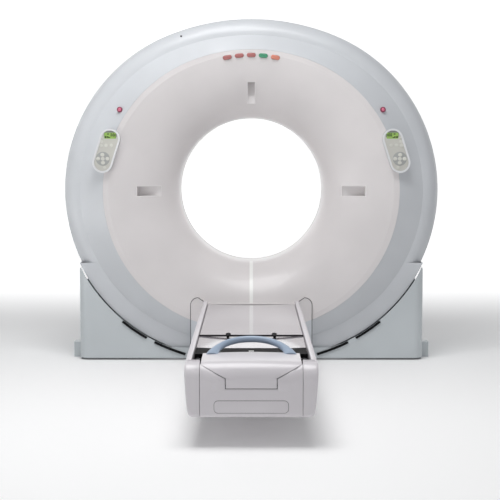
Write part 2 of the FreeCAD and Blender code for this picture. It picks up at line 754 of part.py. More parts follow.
def build_rear_bell():
    width, height = num("rear_bell_half_width"), num("rear_bell_half_height")
    throat = num("rear_bell_throat")
    bell = bell_solid(1, HALF_DEPTH, width, height, throat, num("bell_wall"))
    air = bell_solid(1, HALF_DEPTH, width, height, throat, 0.0, 0.2)
    bore = Part.makeCylinder(num("bore_radius"), 2 * BIG, V(0, -BIG, ISO), V(0, 1, 0))
    shell = bell.cut(air).cut(bore)
    shell = shell.common(oval_prism(width, height, num("bore_half_length") + SEAM, HALF_DEPTH))
    node("bell_rear", free_shape("bell_rear", shell))


def build_ring_covers():
    front_zone = block((-BIG, BIG), (-BIG, -RIM_HALF), (-BIG, BIG))
    rear_zone = block((-BIG, BIG), (RIM_HALF, BIG), (-BIG, BIG))
    rim_zone = block((-BIG, BIG), (-RIM_HALF + SEAM, RIM_HALF - SEAM), (-BIG, BIG))
    side_from = num("rim_side_from")
    low_edge = PARTING - num("cover_overlap")
    lower_front = block((-BIG, BIG), (-HALF_DEPTH + WALL, -RIM_HALF), (-BIG, low_edge))
    lower_rear = block((-BIG, BIG), (RIM_HALF, HALF_DEPTH - WALL), (-BIG, low_edge))

    face_root = oval_prism(FACE_WIDTH, FACE_HEIGHT, -HALF_DEPTH, -HALF_DEPTH + WALL)
    face = face_cone(0).fuse(face_root).cut(face_cone(WALL))
    flat_hole = oval_prism(FACE_WIDTH, FACE_HEIGHT, -HALF_DEPTH - 1, -HALF_DEPTH + WALL + 1)
    front = ring_shell.common(front_zone).cut(flat_hole).cut(lower_front)
    front = front.fuse(face).removeSplitter()
    front = front.cut(oval_prism(LIP_WIDTH, LIP_HEIGHT, -BIG, -HALF_DEPTH - 20))
    front = clear_of_floor(front)
    front = front.cut(interface_region(SEAM))
    for side in (-1, 1):
        front = front.cut(panel_prism(side, PANEL_FRONT + 50, PANEL_BACK - 50, SEAM))
        front = front.cut(stop_hole(side, num("stop_collar_radius") + SEAM))
    node("ring_cover_front", free_shape("ring_cover_front", front))

    rear_hole = oval_prism(num("rear_bell_half_width") + SEAM,
                           num("rear_bell_half_height") + SEAM, 0, BIG)
    rear = ring_shell.common(rear_zone).cut(rear_hole).cut(lower_rear)
    node("ring_cover_rear", free_shape("ring_cover_rear", rear))

    rim = ring_shell.common(rim_zone)
    limits = {
        "ring_rim_top": block((-side_from + SEAM, side_from - SEAM), (-BIG, BIG), (ISO, BIG)),
        "ring_rim_left": block((-BIG, -side_from), (-BIG, BIG), (-BIG, BIG)),
        "ring_rim_right": block((side_from, BIG), (-BIG, BIG), (-BIG, BIG)),
    }
    for label, region in limits.items():
        node(label, free_shape(label, rim.common(region)))
    bottom_half = num("rim_bottom_half")
    inner_depth = HALF_DEPTH - WALL - SEAM
    bottom = ring_shell.common(block((-bottom_half, bottom_half), (-inner_depth, inner_depth),
                                     (-BIG, ISO)))
    node("ring_rim_bottom", free_shape("ring_rim_bottom", bottom))


def build_bore_liner():
    """Two plain rings with the thin scan window between them."""
    radius = S["bore_radius"]
    wall = S["liner_wall"]
    half = S["bore_half_length"]
    window = S["scan_window_half"]
    length = half - window - S["cover_seam"]
    front = ring("bore_liner_front", radius + wall, radius, "y", (0, -half, iso), length)
    rear = ring("bore_liner_rear", radius + wall, radius, "y",
                (0, window + S["cover_seam"], iso), length)
    node("bore_liner", fuse("bore_liner", [front, rear]))
    node("scan_window", ring("scan_window", radius + wall, radius, "y",
                             (0, -window, iso), window * 2))


def build_interface_panel():
    """The flat-fronted housing low on the ring that faces the couch."""
    depth = num("interface_depth")
    rear = -HALF_DEPTH + num("interface_lap")
    outer = interface_region(0).common(block((-BIG, BIG), (-depth, rear), (-BIG, BIG)))
    inner = interface_region(-WALL).common(
        block((-BIG, BIG), (-depth + WALL, rear + 1), (-BIG, BIG)))
    shell = clear_of_floor(outer.cut(inner))
    node("interface_panel", free_shape("interface_panel", shell))


def build_laser_recesses(air):
    """Open pockets, closed at the back and sides, that hold the positioning lasers."""
    trays = []
    for kind in ("left", "right", "top"):
        tray = laser_recess(kind, num("laser_wall")).cut(laser_recess(kind))
        tray = tray.common(block((-BIG, BIG), (-BELL_DEPTH, 0), (-BIG, BIG))).cut(air)
        trays.append(max(tray.Solids, key=lambda solid: solid.Volume))
    node("laser_recesses", free_shape("laser_recesses", Part.makeCompound(trays)))


def build_lamps():
    """Five oval signal lamps in a row under the bell's upper lip."""
    thickness = num("lamp_thickness")
    depth = bell_surface_y(num("bell_half_height") - num("lamp_inset"))
    lamps = [lamp_prism(index, 0.0, depth + thickness / 2, depth - thickness)
             for index in LAMPS]
    node("status_lamps", free_shape("status_lamps", Part.makeCompound(lamps)))


def build_stop_buttons():
    """Emergency stops: fixed collars in the face and mushrooms that press in."""
    travel, proud, gap = S["stop_travel"], S["stop_proud"], S["stop_gap"]
    front = -S["stop_front"]
    height = iso + S["stop_rise"]
    collars = []
    for side, name in ((-1, "left"), (1, "right")):
        x = S["stop_x"] * side
        seat = front + travel + proud
        rim = rod(f"stop_rim_{name}", S["stop_collar_radius"], "y", (x, front, height),
                  S["stop_collar_length"])
        well = rod(f"stop_well_{name}", S["stop_radius"] + gap, "y", (x, front - 1, height),
                   travel + proud + 1)
        bore = rod(f"stop_bore_{name}", S["stop_stem_radius"] + S["pivot_gap"], "y",
                   (x, front - 1, height), S["stop_collar_length"] + 2)
        collars.append(cut(f"stop_collar_{name}", rim, well, bore))
        head = rod(f"stop_head_{name}", S["stop_radius"], "y",
                   (x, front - travel, height), travel + proud)
        stem = rod(f"stop_stem_{name}", S["stop_stem_radius"], "y",
                   (x, seat - travel - 1, height), S["stop_collar_length"] - proud)
        node(f"stop_button_{name}", fuse(f"stop_button_{name}", [head, stem]))
    node("stop_collars", fuse("stop_collars", collars))


KEY_SPOTS = ((-30, 44), (0, 44), (30, 44), (-34, 0), (20, -104))
DIAL_MIDDLE = -52
DIAL_KEY_OFFSET = 29


def build_control_panels():
    """Leaning round-ended pods with a keypad sheet, a display and raised keys."""
    face_y = PANEL_FRONT - num("panel_face_drop")
    inset = num("panel_rim")
    thickness = num("panel_face_thickness")
    rise = num("display_rise")
    long, tall = num("display_length") / 2, num("display_height") / 2
    key, raised = num("key_radius"), num("key_thickness")
    gap, sink, depth = num("panel_gap"), num("display_sink"), num("display_depth")
    housings, faces, displays, keys = [], [], [], []
    for side in (-1, 1):
        housing = panel_prism(side, PANEL_FRONT, PANEL_BACK, 0.0)
        housings.append(housing.cut(
            panel_prism(side, PANEL_FRONT + 1, face_y - thickness, -inset)))
        window = block((-long, long), (-face_y - 1, -face_y + depth),
                       (rise - tall, rise + tall))
        face = panel_prism(side, face_y, face_y - thickness, -inset - gap)
        faces.append(face.cut(to_panel(window, side)))
        glass = block((-long + gap, long - gap), (-face_y + sink, -face_y + depth),
                      (rise - tall + gap, rise + tall - gap))
        displays.append(to_panel(glass, side))
        for across, up in KEY_SPOTS:
            keys.append(to_panel(Part.makeCylinder(key, raised, V(-side * across, -face_y, up),
                                                   V(0, -1, 0)), side))
        dial = Part.makeCylinder(num("pad_radius"), raised / 2, V(0, -face_y, DIAL_MIDDLE),
                                 V(0, -1, 0))
        for across, up in ((0, 0), (1, 0), (-1, 0), (0, 1), (0, -1)):
            spot = V(across * DIAL_KEY_OFFSET, -face_y - raised / 2,
                     DIAL_MIDDLE + up * DIAL_KEY_OFFSET)
            dial = dial.fuse(Part.makeCylinder(key, raised / 2, spot, V(0, -1, 0)))
        keys.append(to_panel(dial, side))
    for label, shapes in (("panel_housings", housings), ("panel_faces", faces),
                          ("panel_displays", displays), ("panel_keys", keys)):
        node(label, free_shape(label, Part.makeCompound(shapes)))


def build_centre_strip(air):
    """A raised strip down the bottom of the bell, from the bore to the couch housing."""
    half = num("strip_width") / 2
    raised = bell_solid(-1, BELL_DEPTH, num("bell_half_width"), num("bell_half_height"),
                        num("bell_throat"), -num("strip_thickness"), 0.2)
    zone = block((-half, half), (-BELL_DEPTH, -num("bore_half_length") - 3),
                 (ISO - num("interface_top_drop") - num("interface_notch_depth") + SEAM,
                  ISO - num("bore_radius") + 20))
    shape = air.cut(raised).common(zone)
    solids = sorted(shape.Solids, key=lambda solid: solid.Volume)
    node("centre_strip", free_shape("centre_strip", solids[-1]))


# ---------------------------------------------------------------------------------------
# Rotor
# ---------------------------------------------------------------------------------------

def build_bearing():
    split, gap = S["race_split_radius"], S["race_gap"]
    start = S["rotor_rear"] + S["outer_race_setback"]
    node("bearing_outer_race", turned("bearing_outer_race", [
        (split, start), (S["tilt_ring_inner"], start),
        (S["tilt_ring_inner"], S["tilt_ring_rear"]), (split, S["tilt_ring_rear"])], iso))
    node("bearing_inner_race", turned("bearing_inner_race", [
        (S["race_inner_radius"], S["rotor_rear"]), (split - gap, S["rotor_rear"]),
        (split - gap, S["tilt_ring_rear"]), (S["race_inner_radius"], S["tilt_ring_rear"])],
        iso))


def build_rotor_drum():
    inner, outer = S["rotor_inner"], S["rotor_outer"]
    front, rear = S["rotor_front"], S["rotor_rear"]
    pan = S["rotor_pan_inner"]
    slip_inner, slip_outer, slip_rear = S["slip_inner"], S["slip_outer"], S["slip_rear"]
    node("rotor_drum", turned("rotor_drum", [
        (inner, front), (pan, front), (pan, -S["rotor_pan_front"]),
        (outer, -S["rotor_pan_front"]), (outer, rear), (slip_outer, rear),
        (slip_outer, slip_rear), (slip_inner, slip_rear), (slip_inner, rear),
        (inner, rear)], iso))


def build_rotor_units():
    front = S["rotor_front"]
    case = rod("tube_case", S["tube_radius"], "y",
               (0, -S["tube_front"], iso + S["tube_offset"]), front + S["tube_front"])
    half = S["collimator_half"]
    slits = box("collimator", (-half, half), (-S["collimator_front"], front),
                (iso + S["collimator_bottom"], iso + S["tube_offset"]))
    node("xray_tube", fuse("xray_tube", [case, slits]))
    for side, label in ((-1, "hv_generator"), (1, "heat_exchanger")):
        x = ((S["box_inner"], S["box_outer"]) if side > 0
             else (-S["box_outer"], -S["box_inner"]))
        tall = S["box_half_height"]
        node(label, box(label, x, (-S["box_front"], front), (iso - tall, iso + tall)))
    radius = num("detector_radius")
    angle = math.radians(num("detector_half_angle"))
    focus = ISO + num("focus_offset")
    arc = Part.makeCylinder(radius + num("detector_thickness"),
                            num("detector_front") + num("rotor_front"),
                            V(0, -num("detector_front"), focus), V(0, 1, 0))
    arc = arc.cut(Part.makeCylinder(radius, 2 * BIG, V(0, -BIG, focus), V(0, 1, 0)))
    reach = V(math.sin(angle) * BIG, -BIG, focus - math.cos(angle) * BIG)
    wedge = Part.Face(Part.makePolygon([V(0, -BIG, focus), reach,
                                        V(-reach.x, -BIG, reach.z), V(0, -BIG, focus)]))
    arc = arc.common(wedge.extrude(V(0, 2 * BIG, 0)))
    node("detector_arc", free_shape("detector_arc", arc))


# ---------------------------------------------------------------------------------------
# Couch: foot and scissor lift
# ---------------------------------------------------------------------------------------

PIVOT_Y = -S["lift_pivot_y"]
PIVOT_Z = S["lift_pivot_z"]
REST = math.radians(num("lift_rest_angle"))
ARM_RUN = num("lift_arm_length") * math.cos(REST)
ARM_RISE = num("lift_arm_length") * math.sin(REST)
FAR_Y = PIVOT_Y + ARM_RUN


def mirrored_spans(low, high):
    """The same stretch of X on the left and on the right."""
    return (("l", (-high, -low)), ("r", (low, high)))


def build_couch_foot():
    """Floor plate with the fixed pivot lugs and the tracks for the sliding arm ends."""
    half = S["couch_foot_half_width"]
    long = S["couch_foot_half_length"]
    middle = -S["couch_foot_centre"]
    top = S["couch_plate"]
    plate = box("foot_plate", (-half, half), (middle - long, middle + long), (0, top))
    holes = []
    for side, name in ((-1, "l"), (1, "r")):
        for end, mark in ((-1, "f"), (1, "b")):
            holes.append(rod(f"foot_hole_{name}{mark}", S["couch_anchor_hole"] / 2, "z",
                             (S["couch_anchor_x"] * side,
                              middle + S["couch_anchor_y"] * end, -1), top + 2))
    pieces = [cut("foot_drilled", plate, *holes)]
    rib = S["arm_height"] / 2 + S["lug_margin"]
    low = S["arm_a_inner"] + S["arm_thickness"] + S["lug_gap"]
    for name, span in mirrored_spans(low, low + S["rib_thickness"]):
        lug = box(f"foot_lug_{name}", span, (PIVOT_Y - rib, PIVOT_Y + rib),
                  (top, PIVOT_Z + rib))
        bore = rod(f"foot_bore_{name}", S["pivot_radius"] + S["pivot_gap"], "x",
                   (span[0] - 1, PIVOT_Y, PIVOT_Z), S["rib_thickness"] + 2)
        pieces.append(cut(f"foot_eye_{name}", lug, bore))
    low = S["arm_b_inner"]
    for name, span in mirrored_spans(low, low + S["arm_thickness"]):
        pieces.append(box(f"foot_track_{name}", span,
                          (FAR_Y - S["track_length"], FAR_Y + S["arm_height"]),
                          (top, PIVOT_Z - S["arm_height"] / 2 - S["roller_gap"])))
    node("couch_foot", fuse("couch_foot", pieces))

    case = box("gearbox_case", (-S["gearbox_half_width"], S["gearbox_half_width"]),
               (PIVOT_Y - S["gearbox_half_length"], PIVOT_Y + S["gearbox_half_length"]),
               (top, S["gearbox_top"]))
    motor = rod("gearbox_motor", S["lift_motor_radius"], "y",
                (0, PIVOT_Y, top + S["lift_motor_radius"] + 1), S["lift_motor_length"])
    shaft_hole = rod("gearbox_bore", S["pivot_radius"] + S["pivot_gap"], "x",
                     (-S["gearbox_half_width"] - 1, PIVOT_Y, PIVOT_Z),
                     S["gearbox_half_width"] * 2 + 2)
    node("lift_gearbox", cut("lift_gearbox", fuse("gearbox_solid", [case, motor]), shaft_hole))


def arm_bars(inner, sign, start_z):
    """Two parallel bars with round ends and a bored middle, leaning up or down at rest."""
    thick, height = num("arm_thickness"), num("arm_height")
    length = num("lift_arm_length")
    bars = []
    for start in (inner, -inner - thick):
        bar = Part.makeBox(thick, length, height, V(start, 0, -height / 2))
        for end in (0, length):
            bar = bar.fuse(Part.makeCylinder(height / 2, thick, V(start, end, 0), V(1, 0, 0)))
        bore = Part.makeCylinder(num("pivot_radius") + num("pivot_gap"), thick + 2,
                                 V(start - 1, length / 2, 0), V(1, 0, 0))
        bars.append(bar.cut(bore) if sign < 0 else bar)
    shape = bars[0].fuse(bars[1])
    shape.rotate(V(0, 0, 0), V(1, 0, 0), sign * num("lift_rest_angle"))
    shape.translate(V(0, PIVOT_Y.value, start_z))
    return shape


def cross_rod(half, y, z):
    return Part.makeCylinder(num("pivot_radius"), 2 * half, V(-half, y, z), V(1, 0, 0))


def build_lift_arms():
    """The two crossed pairs of arms; each pair is one rigid piece with its cross rods."""
    low_z, high_z = PIVOT_Z.value, PIVOT_Z.value + ARM_RISE
    near_y, far_y = PIVOT_Y.value, FAR_Y.value
    thick, rib = num("arm_thickness"), num("rib_thickness")
    outer_a = num("arm_a_inner") + thick
    outer_b = num("arm_b_inner") + thick
    rising = arm_bars(num("arm_a_inner"), 1, low_z).fuse([
        cross_rod(outer_a + 1 + rib, near_y, low_z),
        cross_rod(outer_a, (near_y + far_y) / 2, (low_z + high_z) / 2),
        cross_rod(outer_a, far_y, high_z),
    ])
    node("lift_arm_rising", free_shape("lift_arm_rising", rising.removeSplitter()))
    falling = arm_bars(num("arm_b_inner"), -1, high_z).fuse([
        cross_rod(outer_b + 1 + rib, near_y, high_z),
        cross_rod(outer_b, far_y, low_z),
    ])
    node("lift_arm_falling", free_shape("lift_arm_falling", falling.removeSplitter()))


def build_shrouds():
    """Nested open boxes that hide the lift; each hangs a little higher than the last."""
    middle = -S["couch_foot_centre"]
    wall, height = S["shroud_wall"], S["shroud_height"]
    count = int(num("shroud_count"))
    step = (S["deck_bottom"] - S["couch_plate"] - height) / (count - 1)
    names = ("shroud_lower", "shroud_second", "shroud_third", "shroud_upper")
    for index, label in enumerate(names[:count]):
        grow = (wall + S["shroud_gap"]) * index
        half = S["couch_foot_half_width"] + grow
        long = S["couch_foot_half_length"] + grow
        low = S["couch_plate"] + step * index
        outer = box(f"{label}_outer", (-half, half), (middle - long, middle + long),
                    (low, low + height))
        inner = box(f"{label}_inner", (wall - half, half - wall),
                    (middle - long + wall, middle + long - wall), (low - 1, low + height + 1))
        node(label, cut(label, outer, inner))


# ---------------------------------------------------------------------------------------
# Couch: frame and covers that rise
# ---------------------------------------------------------------------------------------

NEAR = -S["couch_near"]
FAR = -S["couch_far"]
SKIN = S["couch_wall"]


def hull_outline(inset):
    """The couch's cross-section below its rails: (x, z) from the lower left round to the top."""
    half = S["couch_half_width"] - inset
    low = S["couch_bottom"] + inset
    corner = S["couch_corner"]
    top = S["couch_rail_top"]
    bevel = S["rail_corner"]
    return [(half - corner, low), (half - corner * 0.4, low + corner * 0.35),
            (half - bevel, low + corner), (half, top - S["shoulder_drop"]),
            (half, top - bevel), (half - bevel, top)]


def build_couch_frame():
    """Side beams, cross ties and the deck that the lift carries."""
    low, top = S["side_beam_bottom"], S["deck_bottom"]
    tie = S["couch_half_width"] - SKIN - S["tie_side_gap"]
    frame_near = NEAR + S["end_cover_depth"] + S["frame_end_gap"]
    frame_far = FAR - SKIN - S["frame_end_gap"]
    pieces = []
    for name, span in mirrored_spans(S["side_beam_inner"], S["side_beam_outer"]):
        pieces.append(box(f"side_beam_{name}", span, (frame_near, frame_far), (low, top)))
    wide, thick, overlap = S["tie_width"], S["tie_thickness"], S["tie_overlap"]
    for number, y in enumerate((frame_near, frame_far - wide,
                                overlap - S["belly_near_start"] - wide,
                                -S["belly_far_end"] - overlap)):
        pieces.append(box(f"cross_tie_{number}", (-tie, tie), (y, y + wide),
                          (top - thick, top)))
    deck = S["deck_thickness"]
    pieces.append(box("deck", (-S["side_beam_outer"], S["side_beam_outer"]),
                      (-S["belly_near_start"], -S["belly_far_end"]), (top, top + deck)))
    rib = S["arm_height"] / 2 + S["lug_margin"]
    high_z = PIVOT_Z + ARM_RISE
    low = S["arm_b_inner"] + S["arm_thickness"] + S["lug_gap"]
    for name, span in mirrored_spans(low, low + S["rib_thickness"]):
        lug = box(f"deck_lug_{name}", span, (PIVOT_Y - rib, PIVOT_Y + rib),
                  (high_z - rib, top))
        bore = rod(f"deck_bore_{name}", S["pivot_radius"] + S["pivot_gap"], "x",
                   (span[0] - 1, PIVOT_Y, high_z), S["rib_thickness"] + 2)
        pieces.append(cut(f"deck_eye_{name}", lug, bore))
    low = S["arm_a_inner"]
    for name, span in mirrored_spans(low, low + S["arm_thickness"]):
        pieces.append(box(f"deck_track_{name}", span,
                          (FAR_Y - S["track_length"], FAR_Y + S["arm_height"]),
                          (high_z + S["arm_height"] / 2 + S["roller_gap"], top)))
    node("couch_frame", fuse("couch_frame", pieces))

    rails = []
    low = S["slide_rail_inner"]
    for name, span in mirrored_spans(low, low + S["slide_rail_width"]):
        rails.append(box(f"slide_rail_{name}", span,
                         (-S["belly_near_start"] + S["rail_end_gap"],
                          -S["belly_far_end"] - S["rail_end_gap"]),
                         (top + deck, S["beam_bottom"] - S["slide_gap"])))
    node("slide_rails", fuse("slide_rails", rails))


def build_couch_covers():
    gap = S["cover_seam"]
    inner_x = S["couch_rail_inner"]
    top = S["couch_rail_top"]
    lip = S["belly_half"] + gap
    outside, inside = hull_outline(0), hull_outline(SKIN)
    rail_floor = top - S["rail_wall_height"]
    bevel = S["rail_corner"]
    for side, label in ((-1, "couch_side_left"), (1, "couch_side_right")):
        profile = [(inner_x, rail_floor), (inner_x, top - bevel), (inner_x + bevel, top)]
        profile += outside[::-1]
        profile += [(lip, S["couch_bottom"]), (lip, S["couch_bottom"] + SKIN)]
        profile += inside[:4]
        profile += [(S["couch_half_width"] - SKIN, top - SKIN), (inner_x + SKIN, top - SKIN),
                    (inner_x + SKIN, rail_floor)]
        if side < 0:
            profile = [(-x, z) for x, z in profile]
        node(label, prism(label, "y", NEAR + S["end_cover_depth"] + gap, FAR - SKIN - gap,
                          profile))

    half = S["belly_half"]
    low = S["couch_bottom"]
    near_belly = box("belly_near", (-half, half),
                     (NEAR + S["end_cover_depth"] + gap, -S["belly_near_start"]),
                     (low, low + SKIN))
    far_belly = box("belly_far", (-half, half), (-S["belly_far_end"], FAR - SKIN),
                    (low, low + SKIN))
    right = outside + [(inner_x + bevel, top), (inner_x, top - bevel), (inner_x, rail_floor)]
    left = [(-x, z) for x, z in right[::-1]]
    end_plate = prism("belly_end", "y", FAR - SKIN, FAR, left + right)
    strut_y = FAR - SKIN - S["strut_setback"]
    struts = [box(f"belly_strut_{name}", span, (strut_y, strut_y + S["strut_depth"]),
                  (low, S["side_beam_bottom"]))
              for name, span in mirrored_spans(half - S["strut_width"], half)]
    node("couch_belly", fuse("couch_belly", [near_belly, far_belly, end_plate] + struts))

    closed = outside + [(-x, z) for x, z in outside[::-1]]
    hollow = inside[:4] + [(S["couch_half_width"] - SKIN, top - SKIN)]
    hollow = hollow + [(-x, z) for x, z in hollow[::-1]]
    end_block = prism("end_block", "y", NEAR, NEAR + S["end_cover_depth"], closed)
    end_room = prism("end_room", "y", NEAR + SKIN, NEAR + S["end_cover_depth"] + 1, hollow)
    notch_gap = S["end_gap"]
    wide = S["tail_half_width"] + notch_gap
    keel = S["keel_half_width"] + notch_gap
    notch_half = [(keel, S["keel_bottom"] - notch_gap), (keel, S["keel_top"] - notch_gap / 2),
                  (wide, S["tail_top"] - notch_gap / 2), (wide, top + 10)]
    notch = prism("end_notch", "y", NEAR - 1, NEAR + S["end_cover_depth"] + 2,
                  notch_half + [(-x, z) for x, z in notch_half[::-1]])
    shell = cut("end_shell", end_block, end_room, notch)
    doc.recompute()
    seam = num("end_seam_half")
    halfgap = SEAM / 2
    whole = shell.Shape
    centre = whole.common(block((-seam + halfgap, seam - halfgap), (-BIG, BIG), (0, BIG)))
    node("end_cover", free_shape("end_cover", centre))
    corners = [whole.common(block(span, (-BIG, BIG), (0, BIG)))
               for span in ((-BIG, -seam - halfgap), (seam + halfgap, BIG))]
    node("corner_covers", free_shape("corner_covers", Part.makeCompound(corners)))


# ---------------------------------------------------------------------------------------
# Couch: the sliding top
# ---------------------------------------------------------------------------------------

def dished(name, low_y, high_y, holes=()):
    """A slab whose top is hollowed by a very large cylinder along Y."""
    half, top = S["board_half_width"], S["board_top"]
    dish = S["board_dish"]
    chord = half - dish
    radius = (chord * chord + dish * dish) / (dish * 2)
    slab = box(f"{name}_slab", (-half, half), (low_y, high_y),
               (top - S["board_thickness"], top))
    hollow = rod(f"{name}_hollow", radius, "y", (0, low_y - 1, top - dish + radius),
                 high_y - low_y + 2)
    return cut(name, slab, hollow, *holes)


def build_tabletop():
    gap = S["cover_seam"]
    top = S["board_top"]
    bottom = top - S["board_thickness"]
    knob_y = -S["cradle_end"] + S["knob_setback"]
    holes = [rod(f"knob_hole_{name}", S["knob_stem_radius"] + S["pivot_gap"], "z",
                 (S["knob_x"] * side, knob_y, bottom - 1), S["board_thickness"] + 2)
             for side, name in ((-1, "l"), (1, "r"))]
    node("cradle_board", dished("cradle_board", -S["cradle_end"],
                                FAR - S["board_setback"], holes))
    node("cradle_extension", dished("cradle_extension", -S["extension_end"],
                                    -S["cradle_end"] - gap))
    half = S["board_half_width"]
    node("cradle_band", box("cradle_band", (-half, half), (-S["band_end"],
                                                           -S["extension_end"] - gap),
                            (bottom, top - S["band_drop"])))
    beam = S["beam_half_width"]
    node("slide_beam", box("slide_beam", (-beam, beam),
                           (-S["band_end"], -S["beam_start"]), (S["beam_bottom"], bottom)))
    for side, name in ((-1, "left"), (1, "right")):
        x = S["knob_x"] * side
        head = rod(f"knob_head_{name}", S["knob_radius"], "z", (x, knob_y, top),
                   S["knob_height"])
        reach = S["knob_radius"] + S["knob_wing_reach"]
        wing = box(f"knob_wing_{name}", (x - S["knob_wing"], x + S["knob_wing"]),
                   (knob_y - reach, knob_y + reach),
                   (top, top + S["knob_height"]))
        stem = rod(f"knob_stem_{name}", S["knob_stem_radius"], "z",
                   (x, knob_y, bottom + 4), S["board_thickness"] - 2)
        node(f"lock_knob_{name}", fuse(f"lock_knob_{name}", [head, wing, stem]))

    wide, keel = S["tail_half_width"], S["keel_half_width"]
    right = [(keel, S["keel_bottom"]), (keel, S["keel_top"]), (wide, S["tail_top"])]
    node("tail_block", prism("tail_block", "y", NEAR, -S["band_end"] - gap,
                             right + [(-x, z) for x, z in right[::-1]]))


def build_handle():
    """A leaning grab handle: two splayed legs and a straight crown, swept in one piece."""
    foot_y, crown_y = -num("handle_foot_y"), -num("handle_crown_y")
    foot_z, crown_z = num("tail_top"), num("handle_crown_z")
    foot_x, crown_x = num("handle_leg_x"), num("handle_crown_half")
    radius = num("handle_thickness") / 2
    corner = num("handle_corner")
    foot_l, foot_r = V(-foot_x, foot_y, foot_z), V(foot_x, foot_y, foot_z)
    crown_l, crown_r = V(-crown_x, crown_y, crown_z), V(crown_x, crown_y, crown_z)

    def bend(before, at, after):
        back = (before - at).normalize()
        onward = (after - at).normalize()
        inside = (back + onward).normalize()
        half_angle = back.getAngle(onward) / 2
        start, end = at + back * corner, at + onward * corner
        arc_radius = corner * math.tan(half_angle)
        centre = at + inside * (corner / math.cos(half_angle))
        return start, centre - inside * arc_radius, end

    first = bend(foot_l, crown_l, crown_r)
    second = bend(crown_l, crown_r, foot_r)
    path = Part.Wire([
        Part.makeLine(foot_l, first[0]), Part.Arc(*first).toShape(),
        Part.makeLine(first[2], second[0]), Part.Arc(*second).toShape(),
        Part.makeLine(second[2], foot_r),
    ])
    section = Part.Wire([Part.Circle(foot_l, first[0] - foot_l, radius).toShape()])
    tube = path.makePipeShell([section], True, False)
    pads = [Part.makeCylinder(radius + num("handle_pad_rim"), 2 * radius, V(x, foot_y, foot_z), V(0, 0, 1))
            for x in (-foot_x, foot_x)]
    shape = tube.fuse(pads).common(block((-BIG, BIG), (-BIG, BIG), (foot_z, BIG)))
    node("handle", free_shape("handle", shape))


# ---------------------------------------------------------------------------------------
# Build everything, check it, and write one STEP file for each node
# ---------------------------------------------------------------------------------------

def build():
    build_floor_frame()
    for side, name in ((-1, "left"), (1, "right")):
        build_column(side, f"column_{name}")
    build_base_covers()
    build_anchor_covers()
    build_touch_strips()
    build_tilt_frame()
    air = build_front_bell()
    build_rear_bell()
    build_ring_covers()
    build_bore_liner()
    build_interface_panel()
    build_laser_recesses(air)
    build_lamps()
    build_stop_buttons()
    build_control_panels()
    build_centre_strip(air)
    build_bearing()
    build_rotor_drum()
    build_rotor_units()
    build_couch_foot()
    build_lift_arms()
    build_shrouds()
    build_couch_frame()
    build_couch_covers()
    build_tabletop()
    build_handle()


def write():
    doc.recompute()
    for obj in doc.Objects:
        for fault in ("Invalid", "Error"):
            if fault in obj.State:
                raise RuntimeError(f"{obj.Label} is {fault}")
    for obj in nodes:
        if obj.Shape.isNull() or not obj.Shape.isValid() or not obj.Shape.Solids:
            raise RuntimeError(f"{obj.Label} has no sound shape")
    os.makedirs("parts", exist_ok=True)
    for obj in nodes:
        obj.Shape.exportStep(f"parts/{obj.Label}.step")
        bounds = obj.Shape.BoundBox
        print(f"{obj.Label}: {len(obj.Shape.Solids)} solid(s), {obj.Shape.Volume / 1e6:.3f} l,"
              f" {bounds.XLength:.0f} x {bounds.YLength:.0f} x {bounds.ZLength:.0f} mm")
    print(f"{len(nodes)} nodes")


build()
write()
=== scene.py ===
# %% [markdown]
# # A large-bore CT scanner
# A lesson in building the looks of a machine around a finished CAD model. The CAD model is
# the frame: every position below comes from it. Millimetres are used for the shapes, as on
# a maker's drawing, and one factor turns them into Blender's metres. +Z is up, the bore
# runs along Y, and the patient couch lies on the -Y side.

# %% Load the frame and note its box
import math

import bmesh
import bpy
import numpy as np
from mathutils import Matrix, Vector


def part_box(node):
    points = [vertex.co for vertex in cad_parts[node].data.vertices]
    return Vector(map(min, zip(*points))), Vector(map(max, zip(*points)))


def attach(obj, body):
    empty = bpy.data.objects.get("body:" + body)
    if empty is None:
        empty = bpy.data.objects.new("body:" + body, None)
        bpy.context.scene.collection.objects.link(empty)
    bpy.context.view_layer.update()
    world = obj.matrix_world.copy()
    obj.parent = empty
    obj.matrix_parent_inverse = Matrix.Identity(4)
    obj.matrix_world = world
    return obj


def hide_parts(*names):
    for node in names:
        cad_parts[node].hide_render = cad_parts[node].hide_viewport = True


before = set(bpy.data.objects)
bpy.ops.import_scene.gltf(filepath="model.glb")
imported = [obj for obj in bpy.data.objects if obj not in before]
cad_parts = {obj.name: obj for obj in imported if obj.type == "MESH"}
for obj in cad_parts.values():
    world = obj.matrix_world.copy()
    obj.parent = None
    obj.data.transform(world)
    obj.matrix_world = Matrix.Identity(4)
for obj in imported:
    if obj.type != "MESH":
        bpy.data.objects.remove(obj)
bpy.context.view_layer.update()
MM = 0.001

# %% [markdown]
# ## The camera
# The camera stands about eight metres in front of the bore at chest height and looks a
# little down, through a long lens, as a catalogue picture is taken. A long lens keeps the
# round parts round. Aiming by two angles is enough because nothing else turns the camera.

# %% Camera
CAMERA_PLACE = (0.0, -8.275, 1.313)
LOOK_DOWN = math.radians(4.6)
LOOK_LEFT = math.radians(0.057)
lens = bpy.data.cameras.new("studio_camera")
lens.lens = 93.6
lens.sensor_width = 36.0
camera = bpy.data.objects.new("studio_camera", lens)
camera.location = CAMERA_PLACE
camera.rotation_euler = (math.pi / 2 - LOOK_DOWN, 0.0, LOOK_LEFT)
bpy.context.scene.collection.objects.link(camera)
bpy.context.scene.camera = camera
bpy.context.scene.view_settings.view_transform = "Standard"
print("lens", lens.lens, "mm")

# %% [markdown]
# ## Shader maths as Python
# A material is a web of nodes. Wiring each Math node by hand hides the formula, so a small
# class wraps a socket and lets ordinary operators add the nodes: `1 - mask * 0.5` reads as
# it works. Everything that is not arithmetic comes from one method, `add`, which takes a
# node's type, its settings and the values or links of its sockets.


